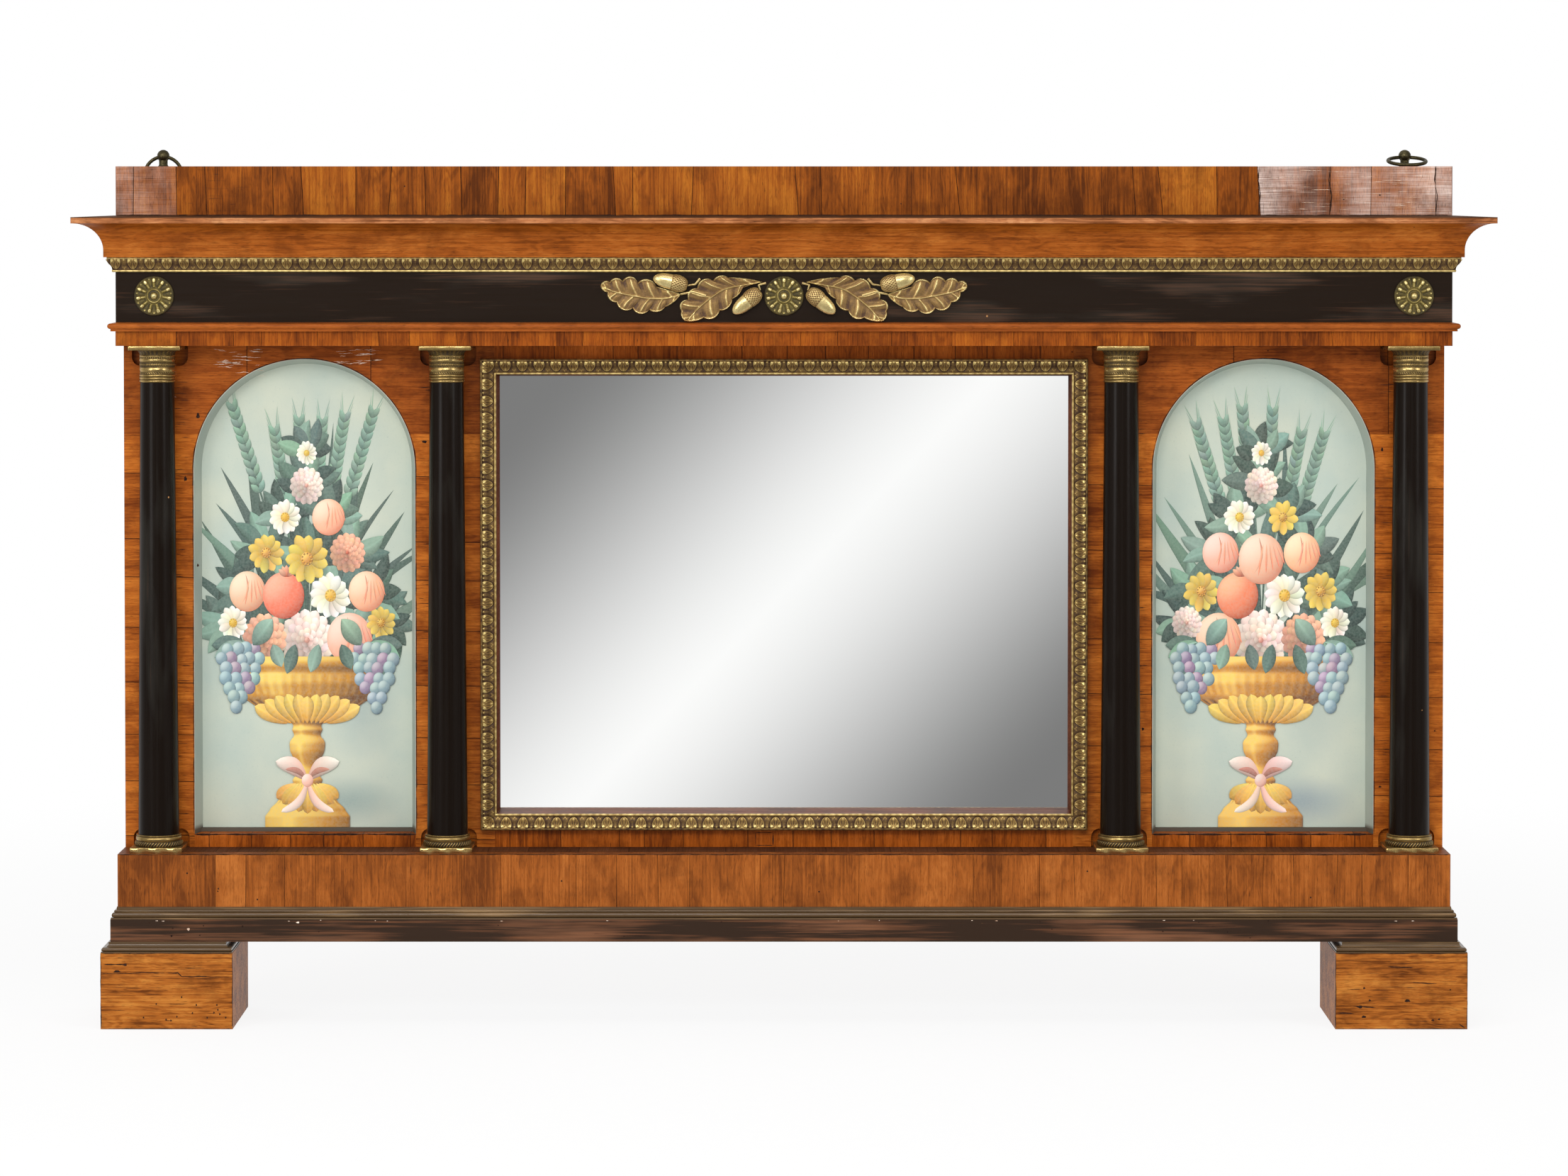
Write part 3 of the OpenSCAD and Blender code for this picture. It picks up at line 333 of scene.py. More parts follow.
# %% Wood
def wood(
    name, light, mid, dark, grain="z", leaves=None, polish=0.36, seed=0.0, contrast=1.0, coat=0.02, gloss=0.07
):
    """Polished wood. grain is the axis that the fibres follow. leaves is the axis and the width in mm of
    the veneer leaves, or None where the mesh itself brings the numbers tone, shift and pale; pale is the share
    of painted glare, pale patches that stand in for light on the polish. A tone under -4 is an open joint, full
    of dirt."""
    m = Material(name, IOR=1.5, Specular_IOR_Level=gloss, Coat_Weight=coat, Coat_Roughness=0.22)
    size = m.size()
    x, y, z = m.add("SeparateXYZ", {0: size})
    if grain == "xy":
        along = m.calc("ADD", x, y)
        cross, deep = z, m.calc("MULTIPLY", y, 0.3)
    else:
        along, cross, deep = {"x": (x, z, y), "y": (y, x, z), "z": (z, x, y)}[grain]
    if leaves:
        axis, width = leaves
        lean = m.calc("MULTIPLY_ADD", along, 0.012, {"x": x, "y": y, "z": z}[axis])
        cell = {"W": m.calc("MULTIPLY_ADD", lean, 1 / width, seed), "Scale": 1.0}
        own = m.add("TexVoronoi", cell, voronoi_dimensions="1D")["Color"]
        tone, shift, _ = m.add("SeparateColor", {0: own})
        tone = m.ramp(tone, 0.0, 1.0, -0.6, 0.65)
        near = m.add("TexVoronoi", cell, voronoi_dimensions="1D", feature="DISTANCE_TO_EDGE")["Distance"]
        line = m.ramp(near, 0.2 / width, 0.7 / width, 0.8, 0.0)
    else:
        tone = m.number("tone")
        shift = m.number("shift")
        line = m.ramp(tone, -4.0, -6.0, 0.0, 0.95)
        tone = m.add("Clamp", {0: tone, 1: -1.5, 2: 1.5})[0]
    # each leaf slides across the pattern by up to 530 mm, and each kind of wood starts at its own place
    slid = m.calc("ADD", cross, m.calc("MULTIPLY_ADD", shift, 530.0, seed * 37.0))
    cut = m.add("CombineXYZ", {0: along, 1: slid, 2: deep})[0]
    figure = m.grains(cut, 95.0, 16.0, 3.0, Distortion=0.5)
    rings = m.ramp(m.calc("SINE", m.calc("MULTIPLY", figure, 52.0)), -1.0, 0.75, kind=SOFT)
    streak = m.grains(cut, 120.0, 1.7, 5.0)
    cloud = m.grains(cut, 60.0, 22.0, 3.0)
    pores = m.grains(cut, 7.0, 0.35, 1.0)
    level = m.calc("MULTIPLY_ADD", rings, 0.12 * contrast, 0.5 - 0.075 * contrast)
    for part, weight in ((streak, 0.75 * contrast), (cloud, 0.85 * contrast)):
        level = m.calc("MULTIPLY_ADD", m.calc("SUBTRACT", part, 0.5), weight, level)
    level = m.calc("MULTIPLY_ADD", tone, 0.22, level, clamp=True)
    colour = m.mix(m.ramp(level, 0.12, 0.5), dark, mid)
    colour = m.mix(m.ramp(level, 0.5, 0.88), colour, light)
    if not leaves:
        # painted glare: pale patches stand in for light on the polish, crossed by fine level scratches
        patch = m.ramp(m.noise(size, 1 / 34, 3.0), 0.35, 0.62, 0.3, 0.95)
        scratch = m.noise(m.vector("MULTIPLY", size, (1 / 40, 1 / 40, 1 / 1.1)), 1.0, 4.0)
        patch = m.calc("MULTIPLY", patch, m.ramp(scratch, 0.36, 0.6, 0.5, 1.1))
        colour = m.mix(m.calc("MULTIPLY", m.number("pale"), patch, clamp=True), colour, "e2ccc1")
    # wax and dirt lie in cloudy stains that don't follow the grain
    stain = m.noise(size, 1 / 38, 5.0, Roughness=0.62)
    colour = m.mix(m.ramp(stain, 0.5, 0.7, 0.0, 0.65), colour, dark)
    pits = m.ramp(pores, 0.6, 0.7, 0.0, 0.6)
    colour = m.mix(pits, colour, "2a1408")
    # a flight hole here and there, and the dirt in the joints
    pit = m.calc("MAXIMUM", m.flight_holes(size, 34.0, 0.72, 0.6, 0.95, 0.9), line)
    rough = m.ramp(streak, 0.2, 0.8, polish + 0.1, polish - 0.05)
    m.connect(Base_Color=m.mix(pit, colour, "1c0d06"), Roughness=rough)
    # relief in tenths of a millimetre: waves of old polish, grain, pores and pits
    height = m.calc("MULTIPLY", m.noise(size, 1 / 24, 2.0), 1.6)
    for part, weight in ((streak, 0.35), (pits, -0.12), (pit, -0.8)):
        height = m.calc("MULTIPLY_ADD", part, weight, height)
    m.connect(Coat_Normal=m.bump(height))
    return m.made


woods = {}
# a short name, the material's name, its tones from light to dark, then grain, leaves, polish, seed, contrast,
# coat and gloss as wood takes them
for short, name, tones, *look in (
    ("plinth", "walnut veneer, leaves of the plinth", "b0672c 95511d 673512", "z", None, 0.38, 1, 1.1),
    ("crest", "walnut veneer, leaves of the parapet", "b1681e 8f4a12 562909", "z", None, 0.34, 2, 1.1),
    ("fascia", "walnut veneer, leaves of the fascia", "ac5f1a 8c4510 582708", "z", None, 0.34, 2, 1.1),
    ("stile", "walnut veneer, laid across the stiles", "d0792b ad5b1b 6e300a", "x", ("z", 56), 0.32, 3, 1.1),
    ("rail", "walnut veneer, laid across the rails", "bd6421 9c4d11 622b09", "z", ("x", 46), 0.34, 7, 1.1),
    ("head", "walnut veneer, arched heads", "ab5c20 884213 4c2007", "x", ("x", 150), 0.3, 11, 1),
    ("foot", "walnut veneer, feet", "c07c34 a45e21 62320e", "x", None, 0.36, 5, 1.5),
    ("side", "walnut veneer, sides of the case", "a4622c 86491c 522810", "z", ("y", 60), 0.42, 13),
    ("fruitwood", "polished fruitwood, run as a moulding", "ad6424 964e15 6f360b", "xy", None, 0.34, 17, 1.5),
    ("nosing", "walnut, thin moulding", "b16224 954d1c 68310d", "xy", None, 0.34, 19, 0.8),
    ("corona", "walnut, worn edge of the cornice", "c58a5c a96a40 6e3e1f", "x", None, 0.4, 43, 1.5),
    ("ledge", "walnut, dark and dusty ledge", "6d4128 57331f 3a1f12", "y", ("x", 52), 0.55, 23, 0.7, 0),
    ("deck", "dark dusty wood", "6a4630 50331f 321d12", "x", None, 0.62, 29, 0.8, 0),
    ("pine", "raw pine, darkened by age", "b9915c a1794a 7a5632", "x", ("z", 120), 0.7, 31, 0.9, 0),
    # the slip is darker than the case: partly its own tone, partly painted shade in its recess by the glass
    ("slip", "reddish walnut slip", "8a4a26 66331a 341c10", "xy", None, 0.4, 37, 0.8, 0, 0.03),
):
    woods[short] = wood(name, *tones.split(), *look)
finish(woods["foot"], "foot_left", "foot_right")
finish(woods["stile"], "stile_outer_left", "stile_outer_right", "stile_inner_left", "stile_inner_right")
finish(woods["rail"], "rail_left", "rail_right", "rail_bottom", "rail_top")
finish(woods["head"], "arch_head_left", "arch_head_right")
finish(woods["side"], "case_sides", "plinth_sides", "plinth_front", "fascia", "parapet_front", "parapet_ends")
finish(woods["fruitwood"], "cornice_moulding")
finish(woods["nosing"], "architrave_strip")
finish(woods["ledge"], "plinth_shelf")
finish(woods["deck"], "cornice_top", "parapet_top")
finish(woods["pine"], "back_board", "mirror_back", "parapet_back")
finish(woods["slip"], "mirror_slip")
print("walnut, fruitwood and pine")

# %% [markdown]
# ## Ebonised wood
# Pear or beech was stained black and polished to look like ebony. The stain has worn thin along edges and
# wherever the piece was handled; here a warm brown grain comes through in streaks and clouds, and light
# catches the polish. Grey patches are bloom on the old polish and partly a painted sheen of light.

# %% Ebonised wood
def ebonised(name, black, brown, grain="xy", worn=0.3, polish=0.3, seed=0.0, coat=0.02, gloss=0.1):
    """Black stain over brown wood, under polish. worn is the share that shows brown."""
    m = Material(name, IOR=1.5, Specular_IOR_Level=gloss, Coat_Weight=coat, Coat_Roughness=0.12)
    size = m.size()
    x, y, z = m.add("SeparateXYZ", {0: size})
    along, cross = (m.calc("ADD", x, y), z) if grain == "xy" else (z, x)
    cut = m.add("CombineXYZ", {0: along, 1: cross, 2: y})[0]
    cut = m.vector("ADD", cut, (seed * 31, seed * 17, 0))
    streak = m.grains(cut, 90.0, 2.2, 5.0)
    cloud = m.grains(cut, 150.0, 26.0, 3.0)
    thin = m.ramp(m.calc("MULTIPLY_ADD", streak, 0.8, cloud), 1.16 - 0.5 * worn, 1.45 - 0.5 * worn)
    colour = m.mix(thin, black, brown)
    # grey patches: bloom on the old polish, and partly a painted sheen of light
    colour = m.mix(m.ramp(cloud, 0.52, 0.78, 0.0, 0.1), colour, "6d7068")
    pit = m.flight_holes(size, 30.0, 0.76, 0.72, 1.2, 1.0)
    rough = m.ramp(streak, 0.3, 0.7, polish, polish + 0.12)
    m.connect(Base_Color=m.mix(pit, colour, "a87a4c"), Roughness=rough)
    wave = m.noise(size, 1 / 18, 2.0)
    m.connect(Coat_Normal=m.bump(m.calc("MULTIPLY_ADD", streak, 0.5, wave)))
    return m.made


black_shaft = ebonised(
    "ebonised wood, turned shafts", "150e09", "301c10", "z", worn=0.12, polish=0.24, seed=1.0, coat=0.06,
    gloss=0.1,
)
black_frieze = ebonised("ebonised wood, frieze", "1f150d", "4a2e1c", worn=0.38, polish=0.3, seed=2.0)
black_base = ebonised(
    "ebonised wood, base board worn brown", "34251b", "744a30", worn=0.6, polish=0.36, seed=3.0
)
black_trim = ebonised(
    "ebonised wood, small mouldings", "554028", "957348", worn=0.45, polish=0.2, seed=4.0, coat=0.35,
    gloss=0.3,
)
finish(black_shaft, "shaft_outer_left", "shaft_outer_right", "shaft_inner_left", "shaft_inner_right")
finish(black_frieze, "frieze_front", "frieze_sides")
finish(black_base, "base_board")
finish(black_trim, "foot_mouldings", "base_moulding")
print("ebonised wood")

# %% [markdown]
# ## Brass, bronze, paint and glass
# The brass was stamped or cast, gilt with lacquer, and has tarnished brown and green wherever a cloth can't
# reach. The meshes store a brightness on each point, and the material mixes bright metal on the crests with
# dark, matt tarnish in the hollows. That brightness is partly polish and grime, and partly painted shade in
# the hollows and creases and painted light on crests and rims.

# %% Brass
def brass(name, crest, body, hollow, rough=0.3, seed=0.0, level=0.0, full=0.8):
    """Tarnished brass. The number high on the mesh is 1 on crests, 0 in hollows and 0.5 on plain parts; besides
    tarnish and polish it carries painted shade in the hollows and painted light on the crests.
    """
    m = Material(name, Metallic=1.0)
    moved = m.vector("ADD", m.size(), (seed * 13, seed * 7, seed))
    stain = m.noise(moved, 1 / 9, 4.0)
    fine = m.noise(moved, 1 / 1.4, 3.0)
    mixed = m.calc("MULTIPLY_ADD", m.calc("SUBTRACT", stain, 0.5), 0.6, m.number("high"))
    mixed = m.calc("MULTIPLY_ADD", m.calc("SUBTRACT", fine, 0.5), 0.4, mixed)
    mixed = m.calc("ADD", mixed, level)
    # dark hollows and bright crests: tarnish and polish, and with them painted shade and painted light
    colour = m.mix(m.ramp(mixed, 0.05, 0.5), hollow, body)
    colour = m.mix(m.ramp(mixed, 0.5, 0.95), colour, crest)
    dull = m.ramp(mixed, 0.1, 0.9, rough + 0.28, rough - 0.06)
    # dirt is no metal: the hollows go matt and dark, which also paints their shade
    metal = m.ramp(mixed, 0.0, 0.4, 0.2, full)
    m.connect(Base_Color=colour, Roughness=dull, Metallic=metal)
    m.bump(fine, 0.00012, 0.7)
    return m.made


stamped = brass(
    "stamped brass, gilt lacquer over dirt", "f6dc90", "a08048", "432a15", rough=0.34, seed=1.0, level=0.05,
    full=0.7,
)
turned = brass(
    "turned and rolled brass", "d2b272", "80683a", "281c12", rough=0.3, seed=2.0, level=0.0, full=0.9
)
cast_gilt = brass(
    "cast brass with bright gilt edges", "ffe9a4", "ad8a52", "553a26", rough=0.32, seed=3.0, level=0.0,
    full=0.75,
)
dark_bronze = brass(
    "dark bronze, worn", "8f845f", "4d4630", "262117", rough=0.36, seed=4.0, level=0.5, full=1.0
)
bronze_gilt = brass(
    "dark bronze, gilt on beads and boss", "f0dc98", "8c7a3e", "3c3318", rough=0.32, seed=5.0, level=0.1,
    full=0.75,
)
finish(stamped, "leaf_band", "gallery")
finish(turned, *(n for n in nodes if n.startswith(("base_outer", "base_inner", "capital_"))))
finish(bronze_gilt, "rosettes")
finish(cast_gilt, "oak_mount_left", "oak_mount_right")
finish(dark_bronze, "hanger_left", "hanger_right", "ring_left", "ring_right")
print("brass and bronze")

# %% Paint and glass
def distemper(name, blue, buff, painted=False, sill=0.0):
    """Matt paint with soft clouds; painted lays the mesh's own colours over the ground, and below sill, a
    height in mm, the paint goes dark brown"""
    m = Material(name, Roughness=0.8, IOR=1.45, Specular_IOR_Level=0.3)
    size = m.size()
    wash = m.ramp(m.noise(size, 1 / 85, 5.0), 0.25, 0.75)
    speck = m.noise(size, 1 / 2.2, 4.0)
    colour = m.mix(wash, blue, buff)
    colour = m.mix(m.ramp(speck, 0.6, 0.75, 0.0, 0.3), colour, "8fa3a0")
    if painted:
        paint = m.add("Attribute", attribute_name="paint")
        cover = m.calc("MULTIPLY", paint["Alpha"], m.ramp(speck, 0.3, 0.7, 0.97, 0.8))
        colour = m.mix(cover, colour, paint["Color"])
    if sill:
        height = m.add("SeparateXYZ", {0: size})[2]
        # the paint goes dark brown towards the bottom, just over the sill
        colour = m.mix(m.ramp(height, sill + 4.0, sill + 9.0, 0.92, 0.0), colour, "4c3f33")
    m.connect(Base_Color=colour)
    m.bump(speck, strength=0.6)
    return m.made


ground = ("aab9b1", "c5c9b7")
finish(distemper("distemper ground on board", *ground), "painted_panel_left", "painted_panel_right")
# the linings take the ground's paint a shade darker: painted shade in the reveal of the arch
lining = distemper("ground paint in painted shade, on the linings", "94a199", "b0b6a9", sill=190.9)
finish(lining, "arch_lining_left", "arch_lining_right")
body_colour = distemper("body colour on distemper", *ground, painted=True)

glass = Material("silvered mirror glass", Metallic=1.0)
bloom = glass.noise(glass.place(), 3.0, 2.0)
haze = glass.ramp(bloom, 0.3, 0.7, 0.01, 0.02)
glass.connect(Base_Color=glass.mix(bloom, "f6f7f6", "fbfbfa"), Roughness=haze)
finish(glass.made, "mirror_glass")
print("paint and glass")

# %% [markdown]
# ## Veneer leaves
# On the parapet, the plinth and the fascia the veneer lies in short upright leaves, some 20 to 110 mm wide.
# Their joints have opened and lean a little. Each leaf is a thin plate with softened edges, so light and dirt
# catch in the joints, and each carries its own tone and its own place in the log.

# %% Lay veneer leaves
VENEER = 0.35  # mm, the thickness of the leaves
OPEN_JOINT = -9.0  # a tone that the wood reads as a joint full of dirt
chance = np.random.default_rng(7)


def leaves(
    name, cuts, corner, run, out, height, material, lean=1.0, gap=0.3, thick=VENEER, spread=1.0, painted_glare=None
):
    """Upright plates of veneer. cuts are the joints in mm along run, from corner, given in mm. lean is how far
    the joints lean, gap is their width, and spread is how much the leaves differ in tone. The last argument
    gives how much painted glare, pale patches that stand in for light on the polish, a leaf shows at its left
    and right edges."""
    corner, run, out = (np.array(v, float) for v in (corner, run, out))
    rise = np.array((0.0, 0.0, 1.0))
    tilt = chance.normal(0, lean, len(cuts))
    tilt[0] = tilt[-1] = 0
    points, faces, tones, shifts, glare_levels = [], [], [], [], []
    soft = 0.14  # mm, how far the edges are softened
    for u, slant in zip(cuts[1:-1], tilt[1:-1]):
        first, w = len(points), 0.9 * gap + 0.12
        for a, v in (
            (u - slant - w, 0), (u - slant + w, 0), (u + slant + w, height), (u + slant - w, height)
        ):
            points.append((corner + run * a + rise * v + out * 0.03) * MM)
        faces.append(tuple(first + k for k in range(4)))
        tones += [OPEN_JOINT] * 4
        shifts += [0.0] * 4
        glare_levels += [0.0] * 4
    for i in range(len(cuts) - 1):
        a, b, first = cuts[i] + gap / 2, cuts[i + 1] - gap / 2, len(points)
        ring = [(a - tilt[i], 0.0), (b - tilt[i + 1], 0.0), (b + tilt[i + 1], height), (a + tilt[i], height)]
        inner = [(a - tilt[i] + soft, soft), (b - tilt[i + 1] - soft, soft)]
        inner += [(b + tilt[i + 1] - soft, height - soft), (a + tilt[i] + soft, height - soft)]
        for (u, v), level in [(q, 0.0) for q in ring] + [(q, thick) for q in inner]:
            points.append((corner + run * u + rise * v + out * level) * MM)
        for k in range(4):
            n = (k + 1) % 4
            faces.append((first + k, first + n, first + 4 + n, first + 4 + k))
        faces.append(tuple(first + 4 + k for k in range(4)))
        tones += [float(np.clip(chance.normal(0, 0.45 * spread), -1, 1))] * 8
        shifts += [float(chance.random())] * 8
        left, right = (painted_glare or {}).get(i, (0.0, 0.0))
        glare_levels += [left, right, right, left] * 2
    if np.dot(np.cross(run, rise), out) < 0:
        faces = [f[::-1] for f in faces]
    print(name, len(cuts) - 1, "leaves")
    return mesh_piece(
        name, points, faces, material, smooth=False, slot="walnut", tone=tones, shift=shifts, pale=glare_levels
    )


def widths(total, mean):
    """Joints at uneven steps from 0 to total"""
    steps = chance.uniform(0.5, 1.5, max(2, round(total / mean)))
    return np.concatenate([[0.0], np.cumsum(steps) / steps.sum() * total])


def veneer(name, board, ends, cuts, mean, material, end_spread=1.0, **look):
    """Leaves on a board's front and both its ends. cuts are the joints on the front, or their mean distance;
    mean is the mean distance on the ends."""
    low, high = box_mm(board)
    _, back = box_mm(ends)
    wide, _, tall = high - low
    cuts = cuts + [wide] if isinstance(cuts, list) else widths(wide, cuts)
    leaves(name, cuts, low, (1, 0, 0), (0, -1, 0), tall, material, **look)
    for hand, x, side in (("_left", low[0], -1), ("_right", high[0], 1)):
        cuts = widths(back[1] - low[1], mean)
        corner, out = (x, low[1], low[2]), (side, 0, 0)
        leaves(name + hand, cuts, corner, (0, 1, 0), out, tall, material, spread=end_spread)


crest_cuts = [0, 18, 62, 92, 161, 191, 246, 281, 317, 354, 392, 420, 461, 511, 530, 591, 698, 723, 863]
crest_cuts += [1044, 1071, 1129, 1172, 1245, 1287, 1353]
# leaves at both ends of the parapet carry pale patches of painted glare
painted_glare = {0: (0.35, 0.3), 1: (0.3, 0.1), 22: (0.85, 0.1), 23: (0.15, 0.7), 24: (0.4, 1.0), 25: (0.7, 0.85)}
crest_look = {"lean": 1.4, "gap": 0.5, "spread": 1.45, "painted_glare": painted_glare}
veneer("veneer_crest", "parapet_front", "parapet_ends", crest_cuts, 30, woods["crest"], 1.2, **crest_look)
plinth_cuts = [0, 100, 131, 171, 203, 318, 352, 393, 470, 511, 554, 586, 659, 683, 760, 877, 906, 945, 981]
plinth_cuts += [1065, 1091, 1137, 1174, 1206, 1250, 1276, 1323]
plinth_look = {"lean": 0.6, "gap": 0.22, "spread": 1.4}
veneer("veneer_plinth", "plinth_front", "plinth_sides", plinth_cuts, 40, woods["plinth"], **plinth_look)
veneer("veneer_fascia", "fascia", "fascia", 48, 40, woods["fascia"], lean=0.3, gap=0.25)
low, high = box_mm("cornice_moulding")
edge, brim = (low[0], low[1], high[2] - 5.4), high[0] - low[0]
# the corona's edge is worn paler, and partly carries a painted highlight of its rounded nose
leaves("corona_edge", [0, brim], edge, (1, 0, 0), (0, -1, 0), 5.3, woods["corona"], thick=0.1)

# %% [markdown]
# ## Stamped leaf mouldings
# The band under the cornice and the frame of the glass are thin brass strip, rolled to a moulding and stamped
# from behind with a die every 17.6 mm: an oval leaf with fanned veins, and a dart between two leaves. Here the
# moulding is a grid that follows the profile, and a height function plays the die.

# %% The die and the strips
PITCH = 17.6  # mm from leaf to leaf
PER_LEAF = 30  # columns of the grid


def smooth_step(x, a, b):
    """0 at a and 1 at b, with a soft start and end"""
    t = np.clip((x - a) / (b - a), 0, 1)
    return t * t * (3 - 2 * t)


def bump_at(x, middle, width):
    return np.exp(-(((x - middle) / width) ** 2))


def leaf_die(s, v, pitch, length, broad):
    """Height in mm and brightness at s along the strip and v from the broad end of the leaf to its tip"""
    u = (s / pitch - np.floor(s / pitch) - 0.5) * pitch
    x = np.clip((v - 0.34 * length) / (0.66 * length), 0, 1)
    half = broad / 2 * (0.93 + 0.07 * smooth_step(v, 0, 0.3 * length)) * np.sqrt(1 - x**2) * (1 - 0.14 * x)
    half = np.where((v < 0) | (v > length), -0.8, half)
    step = np.gradient(v, axis=0)
    slope = np.gradient(half, axis=0) / np.where(np.abs(step) < 1e-3, 1e-3, step)
    edge = (half - np.abs(u)) / np.sqrt(1 + np.clip(slope, -6, 6) ** 2)
    groove = bump_at(edge, -0.15, 0.5)
    rim = bump_at(edge, 0.95, 0.45)
    fan = np.arctan2(u, v + 0.12 * length)
    ribs = 0.5 + 0.5 * np.cos(fan * 17)
    blade = smooth_step(edge, 1.3, 2.2)
    tip = blade * smooth_step(v, 0.45 * length, 0.85 * length)
    corner = bump_at(np.abs(u), 0.3 * broad, 0.11 * broad) * bump_at(v, 0.14 * length, 0.15 * length)
    corner = corner * (edge > 0.5)
    root = bump_at(u, 0, 0.7) * bump_at(v, 0.1 * length, 0.9)
    height = 0.75 * rim - 0.65 * groove + blade * (0.25 + 0.45 * ribs) + 0.5 * corner + 0.5 * root
    bright = 0.1 + 0.62 * rim - 0.3 * groove + blade * (0.4 * ribs - 0.06)
    bright = bright + 0.25 * tip + 0.8 * corner + 0.6 * root
    # the dart between two leaves: a stalk, a bead at its root and three small tongues at its tip
    w = np.abs(u) - pitch / 2
    free = smooth_step(-edge, 0.4, 1.0)
    prongs = bump_at(w, 0, 0.55) * bump_at(v, 0.9 * length, 1.1)
    prongs = prongs + bump_at(w, -1.5, 0.5) * bump_at(v, 0.8 * length, 0.8)
    stem_ = bump_at(w, 0, 0.4) * smooth_step(v, 0.85 * length, 0.2 * length)
    bead = bump_at(w, 0, 0.9) * bump_at(v, 0.08 * length, 0.9)
    dart = free * np.clip(0.8 * prongs + 0.3 * stem_ + bead, 0, 1.1)
    return height * (1 - 0.5 * free) + 0.7 * dart, np.clip(bright + 0.75 * dart, 0, 1)


def s_curve(x0, x1, z0, z1, n):
    """The double curve of the solid moulding, from its low end to its high end"""
    w, h = x1 - x0, z1 - z0
    r = h / (2 * math.sin(2 * math.atan(w / h)))
    z = np.linspace(z0, z1, n)
    hollow = x0 + r - np.sqrt(np.maximum(r * r - (z - z0) ** 2, 0))
    round_ = x1 - r + np.sqrt(np.maximum(r * r - (z - z1) ** 2, 0))
    return np.where(z < (z0 + z1) / 2, hollow, round_), z


def arc(cx, cz, r, a0, a1, n):
    a = np.radians(np.linspace(a0, a1, n))
    return cx + r * np.cos(a), cz + r * np.sin(a)


def strip(profile, zone, length, die, edges=(0.78, 0.78)):
    """A stamped strip as arrays: s from -1 to 1, out and across in mm, and brightness, each by row and column.
    profile is out and across in mm; zone is where the die falls, from the broad end to the tip, in across."""
    out, across = profile
    count = max(1, round(length / PITCH))
    pitch = length / count
    s = np.linspace(0, length, count * PER_LEAF + 1)
    d_out, d_across = np.gradient(out), np.gradient(across)
    size = np.hypot(d_out, d_across) + 1e-9
    broad_end, tip_end = zone
    v = (across - broad_end) / (tip_end - broad_end) * die["length"]
    S, V = np.meshgrid(s, v)
    height, bright = leaf_die(S, V, pitch, die["length"], die["broad"])
    inside = smooth_step(V, -0.5, 0.2) * smooth_step(V, die["length"] + 0.9, die["length"] + 0.3)
    normal_out, normal_across = (d_across / size)[:, None], (-d_out / size)[:, None]
    O = out[:, None] + normal_out * height * inside
    A = across[:, None] + normal_across * height * inside
    rims = np.where(across < across.max() / 2, *edges)
    plain = np.where(size > 1.2, 0.35, rims)[:, None] + 0.1 * np.sin(S * 0.9)
    bead = np.where(inside > 0.5, bright, plain)
    return s / length * 2 - 1, O, A, bead


def to_mitre(s, reach, cut):
    """Where each column of a strip lies along it, in mm from the middle; what passes the mitre ends on it"""
    return np.clip(s[None, :] * reach, -cut, cut)


def sheet(x, y, z, bright, close=False, flip=False):
    """A grid as points, faces and brightness; close joins its last column to the first"""
    faces = grid_faces(*x.shape, close)
    return points_of(x, y, z), faces[:, ::-1] if flip else faces, bright.ravel()


def join(name, pieces, material, slot):
    """One mesh from pieces, each with its points, faces and brightness"""
    points, faces, bright, first = [], [], [], 0
    for p, f, b in pieces.values():
        points.append(p)
        faces.append(f + first)
        bright.append(b)
        first += len(p)
    print(name, first, "points")
    points, faces = np.concatenate(points) * MM, np.concatenate(faces)
    return mesh_piece(name, points, faces, material, slot=slot, high=np.concatenate(bright))


# %% The leaf band under the cornice
low, high = box_mm("frieze_front")
band_low, band_high = box_mm("leaf_band")
half, front, z0 = high[0], low[1], band_low[2]
tall = band_high[2] - band_low[2]
bx, bz = arc(2.2, 1.3, 1.3, -90, 80, 7)
ox, oz = s_curve(2.6, 8.0, 2.7, tall - 1.4, 36)
profile = (
    np.concatenate([[0.0], bx, ox, [8.0, 8.0, 0.0]]),
    np.concatenate([[0.0], bz, oz, [tall - 0.9, tall, tall]]),
)
die = {"length": 10.9, "broad": 11.4}
zone = (tall - 1.6, 2.7)
pieces = {}
far = half + profile[0].max()
s, O, A, bead = strip(profile, zone, 2 * far, die)
pieces["front"] = sheet(to_mitre(s, far, half + O), front - O, z0 + A, bead)
back = cad_high[1] / MM
far = back - front + profile[0].max()
s, O, A, bead = strip(profile, zone, far, die)
along_side = np.minimum((s[None, :] + 1) / 2 * far, back - front + O)
for hand in (1, -1):
    pieces[hand] = sheet(hand * (half + O), back - along_side, z0 + A, bead, flip=hand > 0)
band = join("leaf_band_stamped", pieces, stamped, "gilt_brass")
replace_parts(band, "leaf_band")

# %% The stamped frame of the glass
low, high = box_mm("gallery")
face = high[1]
thick = high[1] - low[1]
wide = 16.3  # mm, the moulding from its outer edge to the slip
cx, cz = arc(thick - 1.5, 1.5, 1.5, -90, 100, 8)
gx, gz = s_curve(3.4, thick - 0.4, 2.6, wide - 1.9, 38)
gx, gz = gx[::-1], (wide - gz)[::-1]
dx, dz = arc(2.6, wide - 1.3, 1.3, -150, 90, 8)
keep = (gz > 2.9) & (gz < wide - 2.7)
profile = (
    np.concatenate([[0.0], cx, gx[keep], dx, [0.0]]), np.concatenate([[0.0], cz, gz[keep], dz, [wide]])
)
die = {"length": 11.6, "broad": 12.2}
zone = (2.3, wide - 2.8)
pieces = {}
half_w, half_h = (high[0] - low[0]) / 2, (high[2] - low[2]) / 2
mid = (high[2] + low[2]) / 2
